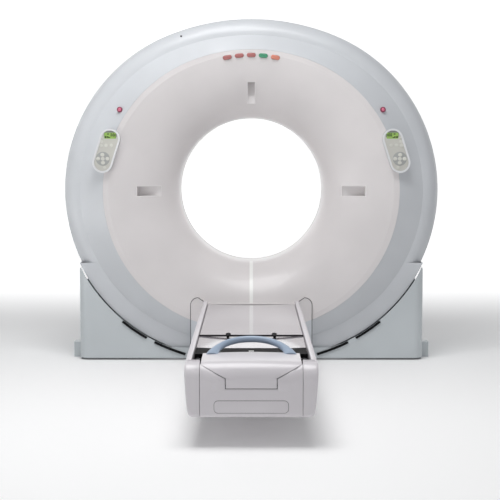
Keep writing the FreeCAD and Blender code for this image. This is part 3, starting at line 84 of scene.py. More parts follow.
# %% Sockets that understand arithmetic
class Wire:
    """One output socket of a material, with operators that add Math nodes."""

    def __init__(self, paint, socket):
        self.paint, self.socket = paint, socket

    def _math(self, operation, *values):
        return self.paint.add("ShaderNodeMath", {"operation": operation},
                              dict(enumerate(values)))

    def __add__(self, other):
        return self._math("ADD", self, other)

    def __sub__(self, other):
        return self._math("SUBTRACT", self, other)

    def __rsub__(self, other):
        return self._math("SUBTRACT", other, self)

    def __mul__(self, other):
        return self._math("MULTIPLY", self, other)

    def __truediv__(self, other):
        return self._math("DIVIDE", self, other)

    __radd__ = __add__
    __rmul__ = __mul__

    def over(self, edge, softness):
        """0 below an edge and 1 above it, with a soft step of a given width."""
        return self.paint.add("ShaderNodeMapRange", {"interpolation_type": "SMOOTHSTEP"},
                              {"Value": self, "From Min": edge - softness / 2,
                               "From Max": edge + softness / 2})


class Paint:
    """A material under construction around one Principled shader."""

    def __init__(self, name, **constants):
        self.material = bpy.data.materials.new(name)
        self.material.use_nodes = True
        self.nodes = self.material.node_tree.nodes
        self.links = self.material.node_tree.links
        self.shader = self.nodes["Principled BSDF"]
        for socket, value in constants.items():
            self.shader.inputs[socket.replace("_", " ")].default_value = value
        self.place = self.add("ShaderNodeTexCoord", out="Object")

    def add(self, kind, settings=None, inputs=None, out=0):
        """A node of any type: settings first, then its sockets by name or number."""
        node = self.nodes.new(kind)
        for key, value in (settings or {}).items():
            setattr(node, key, value)
        for key, value in (inputs or {}).items():
            if isinstance(value, Wire):
                self.links.new(value.socket, node.inputs[key])
            else:
                node.inputs[key].default_value = value
        return Wire(self, node.outputs[out])

    def noise(self, scale, detail=3.0, stretch=None):
        """Soft noise, with `scale` lumps to the metre, from 0 to 1."""
        place = self.place
        if stretch:
            place = self.add("ShaderNodeMapping", None, {"Vector": place, "Scale": stretch})
        return self.add("ShaderNodeTexNoise", None,
                        {"Vector": place, "Scale": scale, "Detail": detail})

    def mix(self, share, first, second):
        """Blend two colours by a share that varies over the surface."""
        node = self.nodes.new("ShaderNodeMix")
        node.data_type = "RGBA"
        for number, value in ((0, share), (6, first), (7, second)):
            if isinstance(value, Wire):
                self.links.new(value.socket, node.inputs[number])
            else:
                node.inputs[number].default_value = value
        return Wire(self, node.outputs[2])

    def feed(self, **inputs):
        """Link values into the Principled shader's own sockets."""
        for name, wire in inputs.items():
            self.links.new(wire.socket, self.shader.inputs[name.replace("_", " ")])

    def bump(self, height, distance, strength=1.0):
        """Small relief, `distance` metres deep, from a height between 0 and 1."""
        relief = self.add("ShaderNodeBump", None,
                          {"Height": height, "Distance": distance, "Strength": strength})
        self.feed(Normal=relief)


def screen(*levels):
    """A linear colour from 8-bit levels as a colour chart gives them."""
    share = np.array(levels) / 255.0
    linear = np.where(share <= 0.04045, share / 12.92, ((share + 0.055) / 1.055) ** 2.4)
    return (*linear.tolist(), 1.0)


print("a mid grey of 188 is", round(screen(188, 188, 188)[0], 3), "in linear light")

# %% [markdown]
# ## Finishes
# The covers are lacquered plastic mouldings: an even colour with a faint cloudiness, a
# trace of orange peel in the gloss, and a film of handling haze. The peel is relief, not
# colour, so it only shows in the reflections. One recipe serves all the lacquers.


# %% Lacquered mouldings
def lacquer(name, colour, roughness, coat, cloud=0.035, flare=None):
    """A moulded cover: cloudy colour, orange peel and faint haze in the gloss.

    `flare` is a second colour, sprayed inside the bell's lip oval:
    (x / 0.897)^2 + ((z - 1.035) / 0.852)^2 < 1, in metres.
    """
    paint = Paint(name, Coat_Weight=coat, Coat_Roughness=0.12, IOR=1.47)
    drift = paint.noise(3.1, 2.0)
    darker = tuple(channel * (1 - cloud) for channel in colour[:3]) + (1.0,)
    lighter = tuple(min(1.0, channel * (1 + cloud)) for channel in colour[:3]) + (1.0,)
    speck = paint.noise(900.0, 1.0)
    tone = drift * 0.85 + speck * 0.15
    coat_colour = paint.mix(tone.over(0.5, 0.5), darker, lighter)
    if flare:
        x, z = (paint.add("ShaderNodeSeparateXYZ", None, {"Vector": paint.place}, out=n)
                for n in (0, 2))
        across, up = x / 0.897, (z - 1.035) / 0.852
        outside = (across * across + up * up).over(1.0, 0.006)
        coat_colour = paint.mix(outside, flare, coat_colour)
    paint.feed(Base_Color=coat_colour)
    haze = paint.noise(14.0, 4.0)
    paint.feed(Roughness=haze * 0.08 + (roughness - 0.04))
    paint.bump(paint.noise(420.0, 2.0) * 0.8 + speck * 0.2, 0.00006, 0.35)
    return paint.material


COOL = lacquer("cool_lacquer", screen(207, 210, 214), 0.40, 0.20)
BASE_COOL = lacquer("base_lacquer", screen(200, 206, 209), 0.42, 0.15)
WARM = lacquer("warm_lacquer", screen(224, 220, 220), 0.38, 0.20)
INTERFACE = lacquer("interface_lacquer", screen(205, 209, 214), 0.40, 0.20,
                    flare=screen(224, 220, 220))
# The laser pockets are the bell's own cream, painted lighter here: painted light that offsets
# the shade inside the recesses.
POCKET_PAINTED_LIGHT = lacquer("laser_pocket_painted_light", screen(240, 237, 237), 0.45, 0.1)
COUCH = lacquer("couch_lacquer", screen(217, 213, 217), 0.36, 0.25)
STRIP_WHITE = lacquer("centre_strip_white", screen(246, 246, 244), 0.34, 0.25)
RIM_WHITE = lacquer("pod_lacquer", screen(228, 229, 231), 0.30, 0.35)
print("lacquers:", COOL.name, WARM.name, COUCH.name)

# %% [markdown]
# The patient board is a glossy laminate over carbon fibre. A very fine two-way weave lies
# under its clear coat, so close that it reads as an even grey until one bends over it.


# %% Laminate, rubber and plain plastics
def laminate(name, colour):
    """Clear coat over a fine woven ply: two crossed sets of waves, 3 mm apart."""
    paint = Paint(name, Coat_Weight=1.0, Coat_Roughness=0.05, IOR=1.5)
    bands = [paint.add("ShaderNodeTexWave", {"bands_direction": way},
                       {"Vector": paint.place, "Scale": 52.0, "Distortion": 0.0}, out=1)
             for way in ("X", "Y")]
    weave = bands[0] * bands[1]
    drift = paint.noise(2.3, 2.0)
    tone = drift * 0.7 + weave * 0.3
    dark = tuple(channel * 0.93 for channel in colour[:3]) + (1.0,)
    paint.feed(Base_Color=paint.mix(tone, dark, colour))
    wipes = paint.noise(6.0, 5.0, (1.0, 7.0, 1.0))
    paint.feed(Roughness=wipes * 0.10 + 0.20)
    paint.bump(weave, 0.00002, 0.2)
    return paint.material


def rubber(name, colour, grain=1400.0):
    """Matt rubber: fine grain, dusty high spots."""
    paint = Paint(name, IOR=1.4, Specular_IOR_Level=0.18)
    grit = paint.noise(grain, 2.0)
    dust = paint.noise(9.0, 5.0)
    pale = tuple(channel * 1.4 + 0.006 for channel in colour[:3]) + (1.0,)
    paint.feed(Base_Color=paint.mix(dust.over(0.62, 0.3) * 0.4, colour, pale))
    paint.feed(Roughness=grit * 0.2 + 0.55)
    paint.bump(grit, 0.00012, 0.5)
    return paint.material


def plastic(name, colour, roughness=0.4, coat=0.0, speckle=600.0, depth=0.00008):
    """Spark-eroded plastic: an even colour with a fine stipple."""
    paint = Paint(name, Coat_Weight=coat, IOR=1.47)
    stipple = paint.noise(speckle, 2.0)
    drift = paint.noise(7.0, 2.0)
    dark = tuple(channel * 0.9 for channel in colour[:3]) + (1.0,)
    paint.feed(Base_Color=paint.mix(drift * 0.6 + stipple * 0.4, dark, colour))
    paint.feed(Roughness=drift * 0.10 + (roughness - 0.05))
    paint.bump(stipple, depth, 0.3)
    return paint.material


BOARD = laminate("board_laminate", screen(163, 157, 164))
BLACK = rubber("black_rubber", screen(17, 17, 19))
HANDLE = plastic("handle_blue_grey", screen(163, 180, 201), 0.34, 0.15)
# One dark plastic serves the real joint strip and cover plug. It is also painted shade: the
# dark strips in the seams round the service lid and the interface panel.
DARK_AND_SEAM_SHADE = plastic("dark_plastic", screen(40, 37, 42), 0.5)
SHEET = plastic("keypad_sheet", screen(206, 205, 198), 0.42, 0.1, 1200.0, 0.00003)
KEYS = rubber("key_silicone", screen(212, 212, 205), 900.0)
DIAL = plastic("dial_plastic", screen(172, 174, 172), 0.42)
SMOKE = plastic("smoked_bezel", screen(138, 140, 138), 0.25, 0.4)
FILM = plastic("scan_film", screen(232, 232, 230), 0.30, 0.2)
MAROON = plastic("stop_collar", screen(150, 66, 92), 0.35, 0.3)
RED = plastic("stop_red", screen(226, 120, 146), 0.32, 0.3)
print("plastics:", HANDLE.name, DARK_AND_SEAM_SHADE.name, SHEET.name)


# %% Painted and bare metal for the working parts
def powder_coat(name, colour):
    """Powder-coated steel: pebbled gloss, with wear where it has been handled."""
    paint = Paint(name, IOR=1.5)
    pebble = paint.noise(650.0, 2.0)
    wear = paint.noise(24.0, 6.0).over(0.72, 0.05)
    paint.feed(Base_Color=paint.mix(wear * 0.3, colour, screen(120, 120, 122)))
    paint.feed(Roughness=pebble * 0.15 + 0.38)
    paint.feed(Metallic=wear * 0.3)
    paint.bump(pebble, 0.0002, 0.5)
    return paint.material


def bare_metal(name, colour, roughness, lay):
    """Machined or ground metal: fine streaks along the tool's way."""
    paint = Paint(name, Metallic=1.0)
    streak = paint.noise(90.0, 6.0, lay)
    stain = paint.noise(5.0, 3.0)
    dark = tuple(channel * 0.75 for channel in colour[:3]) + (1.0,)
    paint.feed(Base_Color=paint.mix(stain * 0.5 + streak * 0.5, dark, colour))
    paint.feed(Roughness=streak * 0.2 + (roughness - 0.1))
    paint.bump(streak, 0.00004, 0.4)
    return paint.material


FRAME_PAINT = powder_coat("frame_paint", screen(120, 123, 128))
SHROUD = powder_coat("shroud_paint", screen(176, 176, 180))
UNIT = powder_coat("unit_enamel", screen(168, 170, 174))
STEEL = bare_metal("ground_steel", screen(190, 190, 192), 0.28, (1.0, 12.0, 12.0))
CASTING = bare_metal("machined_aluminium", screen(196, 197, 200), 0.38, (12.0, 1.0, 12.0))
print("metals:", FRAME_PAINT.name, STEEL.name)


# %% Lamps and display
def lamp(name, dark, light):
    """A tinted lens with the faint rays of its moulded inside."""
    paint = Paint(name, Roughness=0.18, Coat_Weight=0.5, IOR=1.49)
    rays = paint.add("ShaderNodeTexWave", {"bands_direction": "X"},
                     {"Vector": paint.place, "Scale": 90.0}, out=1)
    paint.feed(Base_Color=paint.mix(rays * 0.6 + paint.noise(60.0) * 0.4, dark, light))
    return paint.material


LAMP_REDS = lamp("lens_dusky_red", screen(152, 92, 92), screen(190, 124, 120))
LAMP_GREEN = lamp("lens_green", screen(52, 128, 96), screen(88, 164, 128))
LAMP_AMBER = lamp("lens_amber", screen(196, 116, 98), screen(222, 150, 130))
lcd_paint = Paint("green_display", Roughness=0.14, Coat_Weight=0.4)
lcd_glow = lcd_paint.mix(lcd_paint.noise(30.0), screen(128, 166, 84), screen(168, 200, 108))
lcd_paint.feed(Base_Color=lcd_glow, Emission_Color=lcd_glow)
lcd_paint.shader.inputs["Emission Strength"].default_value = 0.12
LCD = lcd_paint.material
SEGMENT = plastic("display_segment", screen(34, 48, 26), 0.3)
print("lenses ready")

# %% [markdown]
# ## From a grid of points to a mesh
# Most shapes here are a profile carried along a path: rows by columns of points, computed
# as one array. `Patch` keeps such a grid with what should join up. `build` turns patches
# into one mesh: it numbers the points, takes every four neighbours as a face, welds what
# meets, turns the faces outwards and marks the sharp edges.


# %% Patches and meshes
class Patch:
    """A (rows, columns, 3) grid in millimetres.

    Each row is a loop, so its last column joins its first. The first and the last row are
    filled with a face each.
    """

    def __init__(self, points):
        self.points = np.asarray(points, float)

    def mirrored(self):
        return Patch(self.points * (-1.0, 1.0, 1.0))

    def faces(self, start):
        rows, columns = self.points.shape[:2]
        index = start + np.arange(rows * columns).reshape(rows, columns)
        ends = [index[0], index[-1]]
        index = np.hstack([index, index[:, :1]])
        quads = np.stack([index[:-1, :-1], index[:-1, 1:], index[1:, 1:], index[1:, :-1]], -1)
        return quads.reshape(-1, 4).tolist() + [end.tolist() for end in ends]


def both(patches):
    """The patches and their mirror images across the machine's middle plane."""
    return list(patches) + [patch.mirrored() for patch in patches]


def build(name, patches, material, body, stands_for=(), sharp=32.0, shades=()):
    """One finished piece at the origin. `shades` gives the patches other materials."""
    points, faces, kinds, start = [], [], [], 0
    for number, patch in enumerate(patches):
        found = patch.faces(start)
        points.append(patch.points.reshape(-1, 3))
        faces += found
        kinds += [shades[number] if shades else 0] * len(found)
        start += patch.points.shape[0] * patch.points.shape[1]
    mesh = bpy.data.meshes.new(name)
    mesh.from_pydata(np.vstack(points) * MM, [], faces)
    mesh.polygons.foreach_set("material_index", kinds)
    work = bmesh.new()
    work.from_mesh(mesh)
    bmesh.ops.remove_doubles(work, verts=work.verts, dist=2e-6)
    bmesh.ops.dissolve_degenerate(work, edges=work.edges, dist=1e-6)
    bmesh.ops.recalc_face_normals(work, faces=work.faces)
    work.to_mesh(mesh)
    work.free()
    mesh.shade_smooth()
    mesh.set_sharp_from_angle(angle=math.radians(sharp))
    for entry in material if isinstance(material, (list, tuple)) else [material]:
        mesh.materials.append(entry)
    piece = bpy.data.objects.new(name, mesh)
    bpy.context.scene.collection.objects.link(piece)
    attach(piece, body)
    if stands_for:
        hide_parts(*stands_for)
    print(f"{name}: {len(mesh.polygons)} faces")


# %% [markdown]
# ## Slabs with soft edges
# Keys, plates, knobs, lids and strips are all one shape: a rounded rectangle with a little
# depth and a broken edge. `slab` carries the outline through its depth and pulls it in at
# both ends by a quarter circle, so every edge catches the light as a moulding's edge does.


# %% Rounded rectangles and slabs
def round_rect(half_wide, half_high, corner, steps=7):
    """A rounded rectangle's outline: four quarter circles of radius `corner`."""
    turn = np.linspace(0.0, math.pi / 2, steps)
    quarter = np.stack([np.cos(turn), np.sin(turn)], -1)
    middle = np.array([half_wide - corner, half_high - corner])
    corners = []
    for sign_x, sign_z, flip in ((1, 1, 1), (-1, 1, -1), (-1, -1, 1), (1, -1, -1)):
        corners.append((middle + corner * quarter[::flip]) * (sign_x, sign_z))
    return np.vstack(corners)


def slab(middle, half_wide, half_high, corner, depth, edge, facing="y", lean=0.0, steps=7):
    """A slab in front of `middle`, which lies on its back face.

    Row i is the outline pulled in by edge * (1 - cos a) at a height of depth - edge +
    edge * sin a. `facing` is the axis that the front looks along, -Y or +Z, and `lean`
    turns the outline in its own plane.
    """
    turn = np.linspace(0.0, math.pi / 2, 5)
    inset = np.concatenate([[0.0], edge * (1 - np.cos(turn))])
    height = np.concatenate([[0.0], depth - edge + edge * np.sin(turn)])
    rows = []
    spin = np.array([[math.cos(lean), math.sin(lean)], [-math.sin(lean), math.cos(lean)]])
    for pull, up in zip(inset, height):
        flat = round_rect(half_wide - pull, half_high - pull, max(corner - pull, 0.2),
                          steps) @ spin
        if facing == "y":
            rows.append(np.stack([flat[:, 0], np.full(len(flat), -up), flat[:, 1]], -1))
        else:
            rows.append(np.stack([flat[:, 0], flat[:, 1], np.full(len(flat), up)], -1))
    return Patch(np.array(rows) + middle)


print("a slab has", slab((0, 0, 0), 10, 5, 2, 3, 1).points.shape[:2], "points")

# %% [markdown]
# ## The couch's covers
# The long side covers are one section carried along the couch. The section bulges a little
# towards the rail and tucks in at the foot; the foot-end corner pieces repeat it, so the
# two meet in a fine seam. The near end is soft too: a small radius at the bottom and a
# wide one at the top, which `near_face` gives as a depth for each height.

# %% Couch sections
PROFILE_Z = np.array([133.0, 138, 150, 173, 240, 310, 345, 362, 369, 372])
PROFILE_X = np.array([262.0, 270, 278, 282, 288, 292, 293, 291.5, 289, 285])
NEAR, SEAM_Y, FAR_END, BOTTOM = -2700.0, -2610.0, -446.4, 133.0
TOE, BROW = 14.0, 72.0
BROW_FROM = 296.0
INNER_SEAM = 225.9


def bulge(z):
    """The covers' half-width at a height, read between the section's points."""
    return np.interp(z, PROFILE_Z, PROFILE_X)


def near_face(z):
    """The near face's Y at a height: a quarter circle below, flat, then a wide one."""
    low = np.clip(BOTTOM + TOE - z, 0.0, TOE)
    high = np.clip(z - BROW_FROM, 0.0, BROW)
    return NEAR + TOE - np.sqrt(TOE ** 2 - low ** 2) + BROW - np.sqrt(BROW ** 2 - high ** 2)


def side_cover():
    """Section in X and Z, outside up, over the rail, inside down, carried along Y."""
    z = np.concatenate([np.linspace(BOTTOM, 345.0, 16), np.linspace(350.0, 372.0, 8)])
    outside = np.stack([bulge(z), z], -1)
    rail = np.array([(282.0, 373.0), (268.0, 373.0), (265.2, 372.2), (264.0, 370.0),
                     (264.0, 308.0), (264.8, 306.0), (270.0, 306.0), (270.0, 362.0),
                     (284.0, 362.0), (286.5, 345.0)])
    inside = np.stack([bulge(z[15::-1]) - 6.0, z[15::-1]], -1)[1:]
    section = np.vstack([outside, rail, inside])
    y = np.array([SEAM_Y + 0.4, SEAM_Y + 1.4, FAR_END - 22.0, FAR_END - 9.0, FAR_END - 2.0,
                  FAR_END])
    pull = np.array([0.8, 0.0, 0.0, 1.0, 4.0, 8.0])
    grid = np.empty((len(y), len(section), 3))
    grid[..., 0] = section[None, :, 0] - np.where(section[None, :, 0] > 280, pull[:, None], 0)
    grid[..., 1] = y[:, None]
    grid[..., 2] = section[None, :, 1]
    return Patch(grid)


def corner_cover():
    """Rows go up; each is a loop: inner edge, near face, rounded corner, side, rear."""
    z = np.concatenate([BOTTOM + TOE * (1 - np.cos(np.linspace(0, math.pi / 2, 6))),
                        np.linspace(160.0, BROW_FROM, 12),
                        BROW_FROM + 74.0 * np.sin(np.linspace(0.1, math.pi / 2, 12)),
                        [371.4, 372.4]])
    turn = np.linspace(0.0, math.pi / 2, 7)
    rows = []
    for height in z:
        near, wide, corner = float(near_face(height)), float(bulge(height)), 11.0
        corner = min(corner, (SEAM_Y - near) / 2)
        soft = max(height - 368.0, 0.0) * 0.5
        x = np.concatenate([[INNER_SEAM, INNER_SEAM + soft], [INNER_SEAM + 1.5 + soft],
                            wide - corner + corner * np.sin(turn), [wide, wide - 0.8],
                            [INNER_SEAM + soft]])
        y = np.concatenate([[near + 6.0, near + 1.2], [near],
                            near + corner - corner * np.cos(turn), [SEAM_Y - 1.2, SEAM_Y - 0.4],
                            [SEAM_Y - 0.4]])
        rows.append(np.stack([x, y, np.full(len(x), height)], -1))
    return Patch(np.array(rows))


build("couch_side_mouldings", both([side_cover()]), COUCH, "couch",
      ["couch_side_left", "couch_side_right"])
build("couch_corner_mouldings", both([corner_cover()]), COUCH, "couch",
      ["corner_covers"])

# %% [markdown]
# ## The foot end
# The end cover is a thin shell with a stepped notch; the sliding tail block fills the notch
# when the top is out. Each column of the end cover is one closed loop that goes under,
# round the toe, up the near face to the notch and back down inside. A thin service lid and
# two blanked squares lie on it.


# %% End cover and tail block
NOTCH_X = [0.0, 114.3, 114.5, 222.9, 223.9]
NOTCH_Z = [258.0, 258.0, 303.0, 360.5, 361.0]
KEEL_HALF, KEEL_BOTTOM, KEEL_TOP = 111.0, 261.0, 306.0
TAIL_HALF, TAIL_RISE = 222.0, 56.0
TAIL_FAR, TAIL_CREST_FROM = -2337.6, -2400.0
COVER_WALL = 6.0


def end_cover():
    """Columns in X; the loop's height ends at the notch: level, upright step, slope."""
    edges = np.array([-223.9, -222.9, -170.0, -116.0, -114.6, -114.2, -112.0, 0.0])
    x = np.concatenate([edges, -edges[-2::-1]])
    notch = np.interp(np.abs(x), NOTCH_X, NOTCH_Z)
    share = np.linspace(0.0, 1.0, 26)
    rows = []
    for across, top in zip(x, notch):
        z = np.concatenate([BOTTOM + TOE * (1 - np.cos(np.linspace(0, math.pi / 2, 7))),
                            BOTTOM + TOE + (top - BOTTOM - TOE) * share[1:]])
        y = near_face(z)
        y[-1] += 1.5
        outer = np.stack([np.concatenate([[SEAM_Y], y]),
                          np.concatenate([[BOTTOM], z])], -1)
        inner = np.stack([np.concatenate([[SEAM_Y], y[6:] + COVER_WALL])[::-1],
                          np.concatenate([[BOTTOM + COVER_WALL], z[6:]])[::-1]], -1)
        loop = np.vstack([outer, inner])
        rows.append(np.column_stack([np.full(len(loop), across), loop]))
    return Patch(np.array(rows))


def tail_block():
    """Rows along Y: keel, slope and crowned top, lower where the near edge rounds over."""
    brow_y = NEAR + BROW
    y = np.concatenate([[TAIL_FAR, -2340.0], np.linspace(-2350.0, brow_y + 5.0, 12),
                        brow_y - BROW * np.sin(np.linspace(0.0, math.pi / 2, 16))])
    crest = np.interp(y, [TAIL_CREST_FROM, -2338.0], [368.0, 356.0])
    near = np.clip(brow_y - y, 0.0, BROW)
    top = crest - (BROW - np.sqrt(BROW ** 2 - near ** 2))
    share = np.linspace(1.0, 0.0, 9)
    rows = []
    for depth, level in zip(y, top):
        wide = KEEL_HALF + (level - KEEL_TOP) * (TAIL_HALF - KEEL_HALF) / TAIL_RISE
        wide = min(wide, TAIL_HALF)
        slope_top = KEEL_TOP + (wide - KEEL_HALF) * TAIL_RISE / (TAIL_HALF - KEEL_HALF)
        crown = 6.0 * (1 - share ** 2)
        x = np.concatenate([[0.0, KEEL_HALF - 2.0, KEEL_HALF, KEEL_HALF], [wide - 1.5, wide],
                            (wide - 1.5) * share])
        z = np.concatenate([[KEEL_BOTTOM, KEEL_BOTTOM, KEEL_BOTTOM + 2.0, KEEL_TOP],
                            [slope_top - 1.5, min(slope_top, level) - 0.2],
                            level + crown * min(1.0, (level - 300.0) / 68.0)])
        loop = np.stack([x, z], -1)
        loop = np.vstack([loop, loop[-2:0:-1] * (-1, 1)])
        rows.append(np.column_stack([loop[:, 0], np.full(len(loop), depth), loop[:, 1]]))
    return Patch(np.array(rows))


build("end_cover_moulding",
      [end_cover(), slab((0, NEAR + 0.6, 180.0), 161.5, 26.5, 17.0, 2.2, 1.0)]
      + both([slab((-145.5, NEAR + 0.6, 272.0), 27.5, 22.5, 2.0, 1.4, 0.6)]),
      COUCH, "couch", ["end_cover"])
# A dark ring just wider than the service lid is painted shade: it stands in for the shadow in
# the lid's seam.
build("service_lid_seam_shade", [slab((0, NEAR + 0.5, 180.0), 163.0, 28.0, 18.5, 0.9, 0.1)],
      DARK_AND_SEAM_SHADE, "couch")
build("tail_block_moulding", [tail_block()], COUCH, "tabletop",
      ["tail_block"])

# %% [markdown]
# ## The tabletop's fittings
# A dark joint strip crosses the board where the foot extension plugs in, with a wing knob
# at each side to lock it. The black end band carries a small white centre mark. The handle
# is an arch of constant plastic section that flares where it meets the tail block.


# %% Joint strip, knobs, mark and handle
HANDLE_HALF = 178.0
HANDLE_FOOT = (-2436.0, 362.0)
HANDLE_RISE = (171.0, 51.0)
JOINT_Y, BOARD_TOP, KNOB_X = -1792.0, 357.0, 116.0


def arch(count=61, around=24):
    """The handle: x = w t, rise = (1 - |t|^2.2)^0.62 from foot to crown.

    The section is an ellipse across the path, in the arch's leaning plane and square to
    it, and grows towards both feet.
    """
    t = np.sin(np.linspace(-math.pi / 2, math.pi / 2, count))
    rise = (1 - np.abs(t) ** 2.2) ** 0.62
    path = np.stack([HANDLE_HALF * t, HANDLE_FOOT[0] + HANDLE_RISE[0] * rise,
                     HANDLE_FOOT[1] + HANDLE_RISE[1] * rise], -1)
    along = np.gradient(path, axis=0)
    along /= np.linalg.norm(along, axis=1)[:, None]
    square = np.array([0.0, -HANDLE_RISE[1], HANDLE_RISE[0]]) / math.hypot(*HANDLE_RISE)
    inwards = np.cross(square, along)
    flare = 1.0 + 1.1 * np.abs(t) ** 9
    turn = np.linspace(0.0, 2 * math.pi, around, endpoint=False)
    return Patch(path[:, None] + 14.0 * flare[:, None, None] * inwards[:, None]
                 * np.cos(turn)[None, :, None]
                 + 15.5 * square * np.sin(turn)[None, :, None])


build("handle_arch", [arch()], HANDLE, "tabletop", ["handle"], 60.0)
build("extension_joint_strip",
      [slab((0.0, JOINT_Y, BOARD_TOP - 2.0), 262.0, 4.0, 2.0, 9.0, 1.5, "z")],
      DARK_AND_SEAM_SHADE, "tabletop")
for side_name, sign in (("left", -1), ("right", 1)):
    build(f"extension_knob_{side_name}",
          [slab((sign * KNOB_X, -1776.0, BOARD_TOP + 0.4), 12.5, 12.5, 12.4, 12.0, 2.0, "z"),
           slab((sign * KNOB_X, -1820.0, BOARD_TOP + 1.6), 6.5, 56.0, 6.0, 13.0, 4.0, "z")],
          BLACK, f"knob_{side_name}", [f"lock_knob_{side_name}"])
build("centre_mark", [slab((0.0, -2255.0, 353.6), 12.0, 13.0, 1.5, 1.4, 0.5, "z")],
      STRIP_WHITE, "tabletop")
print("couch dressed")

# %% [markdown]
# ## The control pods
# Each pod is a leaning housing with a keypad sheet set a few millimetres into its rim, so
# the rim throws a soft shadow on one side. The display sits level in the upper end, under
# a smoked dome; the keys are level too, and a round pad below carries five of them. All of
# it is made of the same soft-edged slab, placed in the pod's own level axes.

# %% Control pods
POD_X, POD_Z, LEAN = 872.0, 1281.0, math.radians(17.7)
SHEET_Y = -445.4


def on_pod(u, v, *sizes, deep=0.0, lean=0.0):
    """A slab on the left pod at (u, v) from its middle, `deep` before the sheet."""
    return slab((u - POD_X, SHEET_Y - deep, v + POD_Z), *sizes, lean=lean)


def segments():
    """Display marks: a bar graph, a pointer and digits of upright bars and dashes."""
    bars = [(30.0 + 5.2 * n, 93.0, 1.5, 9.0 - 1.2 * (n % 3)) for n in range(6)]
    dashes = [(33.0, 104.0, 4.5, 1.3), (45.0, 104.0, 4.5, 1.3), (20.0, 79.0, 4.5, 2.6),
              (11.0, 82.0, 4.6, 4.6), (-2.0, 82.0, 5.4, 5.4), (13.0, 100.0, 5.6, 3.2)]
    return [on_pod(u, v, wide, high, min(wide, high) * 0.4, 0.9, 0.2, deep=3.0)
            for u, v, wide, high in bars + dashes]


pod_sheet = [on_pod(0.0, 0.0, 49.6, 124.6, 49.5, 2.0, 0.6, lean=-LEAN)]
display = [on_pod(25.0, 90.0, 35.0, 18.0, 4.0, 3.4, 0.6)]
dome = [on_pod(26.0, 96.0, 39.0, 24.0, 18.0, 2.6, 0.4)]
keys = [on_pod(u, v, r, r, r - 0.1, 5.0, 1.8)
        for u, v, r in ((-26, 56, 10.5), (-30, 32, 10.5), (0.5, 33, 10.5), (33, 33, 10.0),
                        (-21, 79, 5.5), (-9, -100, 10.0))]
pad = [on_pod(-20.0, -48.0, 42.0, 42.0, 41.9, 4.0, 1.6)]
pad_keys = [on_pod(u, v, 12.0, 11.0, 10.8, 7.4, 2.2)
            for u, v in ((-48, -48), (8, -48), (-22, -24), (-19, -72), (-20, -48))]
build("keypad_sheets", both(pod_sheet), SHEET, "ring", ["panel_faces"])
build("display_domes", both(dome), SMOKE, "ring")
build("displays", both(display), LCD, "ring", ["panel_displays"])
build("display_marks", both(segments()), SEGMENT, "ring")
build("keys", both(keys + pad_keys), KEYS, "ring", ["panel_keys"])
build("key_pads", both(pad), DIAL, "ring")

# %% [markdown]
# ## Lamps and emergency stops
# Five lens caps follow the bell's upper lip; each leans with the arc. The stops are turned
# parts: a profile of radius and depth swept round the button's own axis.


# %% Lamps and stops
def turned(middle, profile, steps=40):
    """A turned part facing -Y: point = middle + r (cos a, 0, sin a) - (0, depth, 0)."""
    turn = np.linspace(0.0, 2 * math.pi, steps, endpoint=False)
    radius, depth = np.array(profile, float).T
    grid = np.stack([radius[:, None] * np.cos(turn), np.repeat(-depth[:, None], steps, 1),
                     radius[:, None] * np.sin(turn)], -1)
    return Patch(grid + middle)


LAMP_PITCH, LAMP_ARC_TOP, LAMP_ARC_RADIUS = 72.0, 1853.0, 715.0
lamp_box = np.array(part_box("status_lamps")) * 1000.0
lamp_back = lamp_box[1][1]
lamp_proud = lamp_back - lamp_box[0][1]
lamp_finish = [LAMP_REDS, LAMP_REDS, LAMP_REDS, LAMP_GREEN, LAMP_AMBER]
lamp_colours = [LAMP_REDS, LAMP_GREEN, LAMP_AMBER]
lenses = []
for number in range(5):
    x = LAMP_PITCH * (number - 2)
    lenses.append(slab((x, lamp_back, LAMP_ARC_TOP - x * x / (2 * LAMP_ARC_RADIUS)), 27.3,
                       13.3, 13.0, lamp_proud + 2.0, 6.0, lean=-x / LAMP_ARC_RADIUS))
build("signal_lamps", lenses, lamp_colours, "ring", ["status_lamps"],
      shades=[lamp_colours.index(finish) for finish in lamp_finish])
STOP_X, STOP_BACK, STOP_Z = 793.0, -373.0, 1528.0
collar = [(16.4, 0.0), (16.4, 37.0), (15.8, 38.4), (14.6, 39.0), (11.4, 39.0), (10.6, 38.4),
          (10.4, 37.4), (10.4, 30.0)]
build("stop_collars_turned",
      [turned((sign * STOP_X, STOP_BACK, STOP_Z), collar) for sign in (-1, 1)],
      MAROON, "ring", ["stop_collars"])
mushroom = [(5.0, 0.0), (5.0, 27.0), (9.4, 28.0), (9.9, 30.0), (9.9, 39.0), (9.4, 40.8),
            (8.0, 42.2), (5.5, 43.0), (2.5, 43.3), (0.3, 43.4)]
for side_name, sign in (("left", -1), ("right", 1)):
    build(f"stop_button_{side_name}_turned",
          [turned((sign * STOP_X, STOP_BACK, STOP_Z), mushroom)],
          RED, f"stop_{side_name}", [f"stop_button_{side_name}"])
print("gantry dressed")
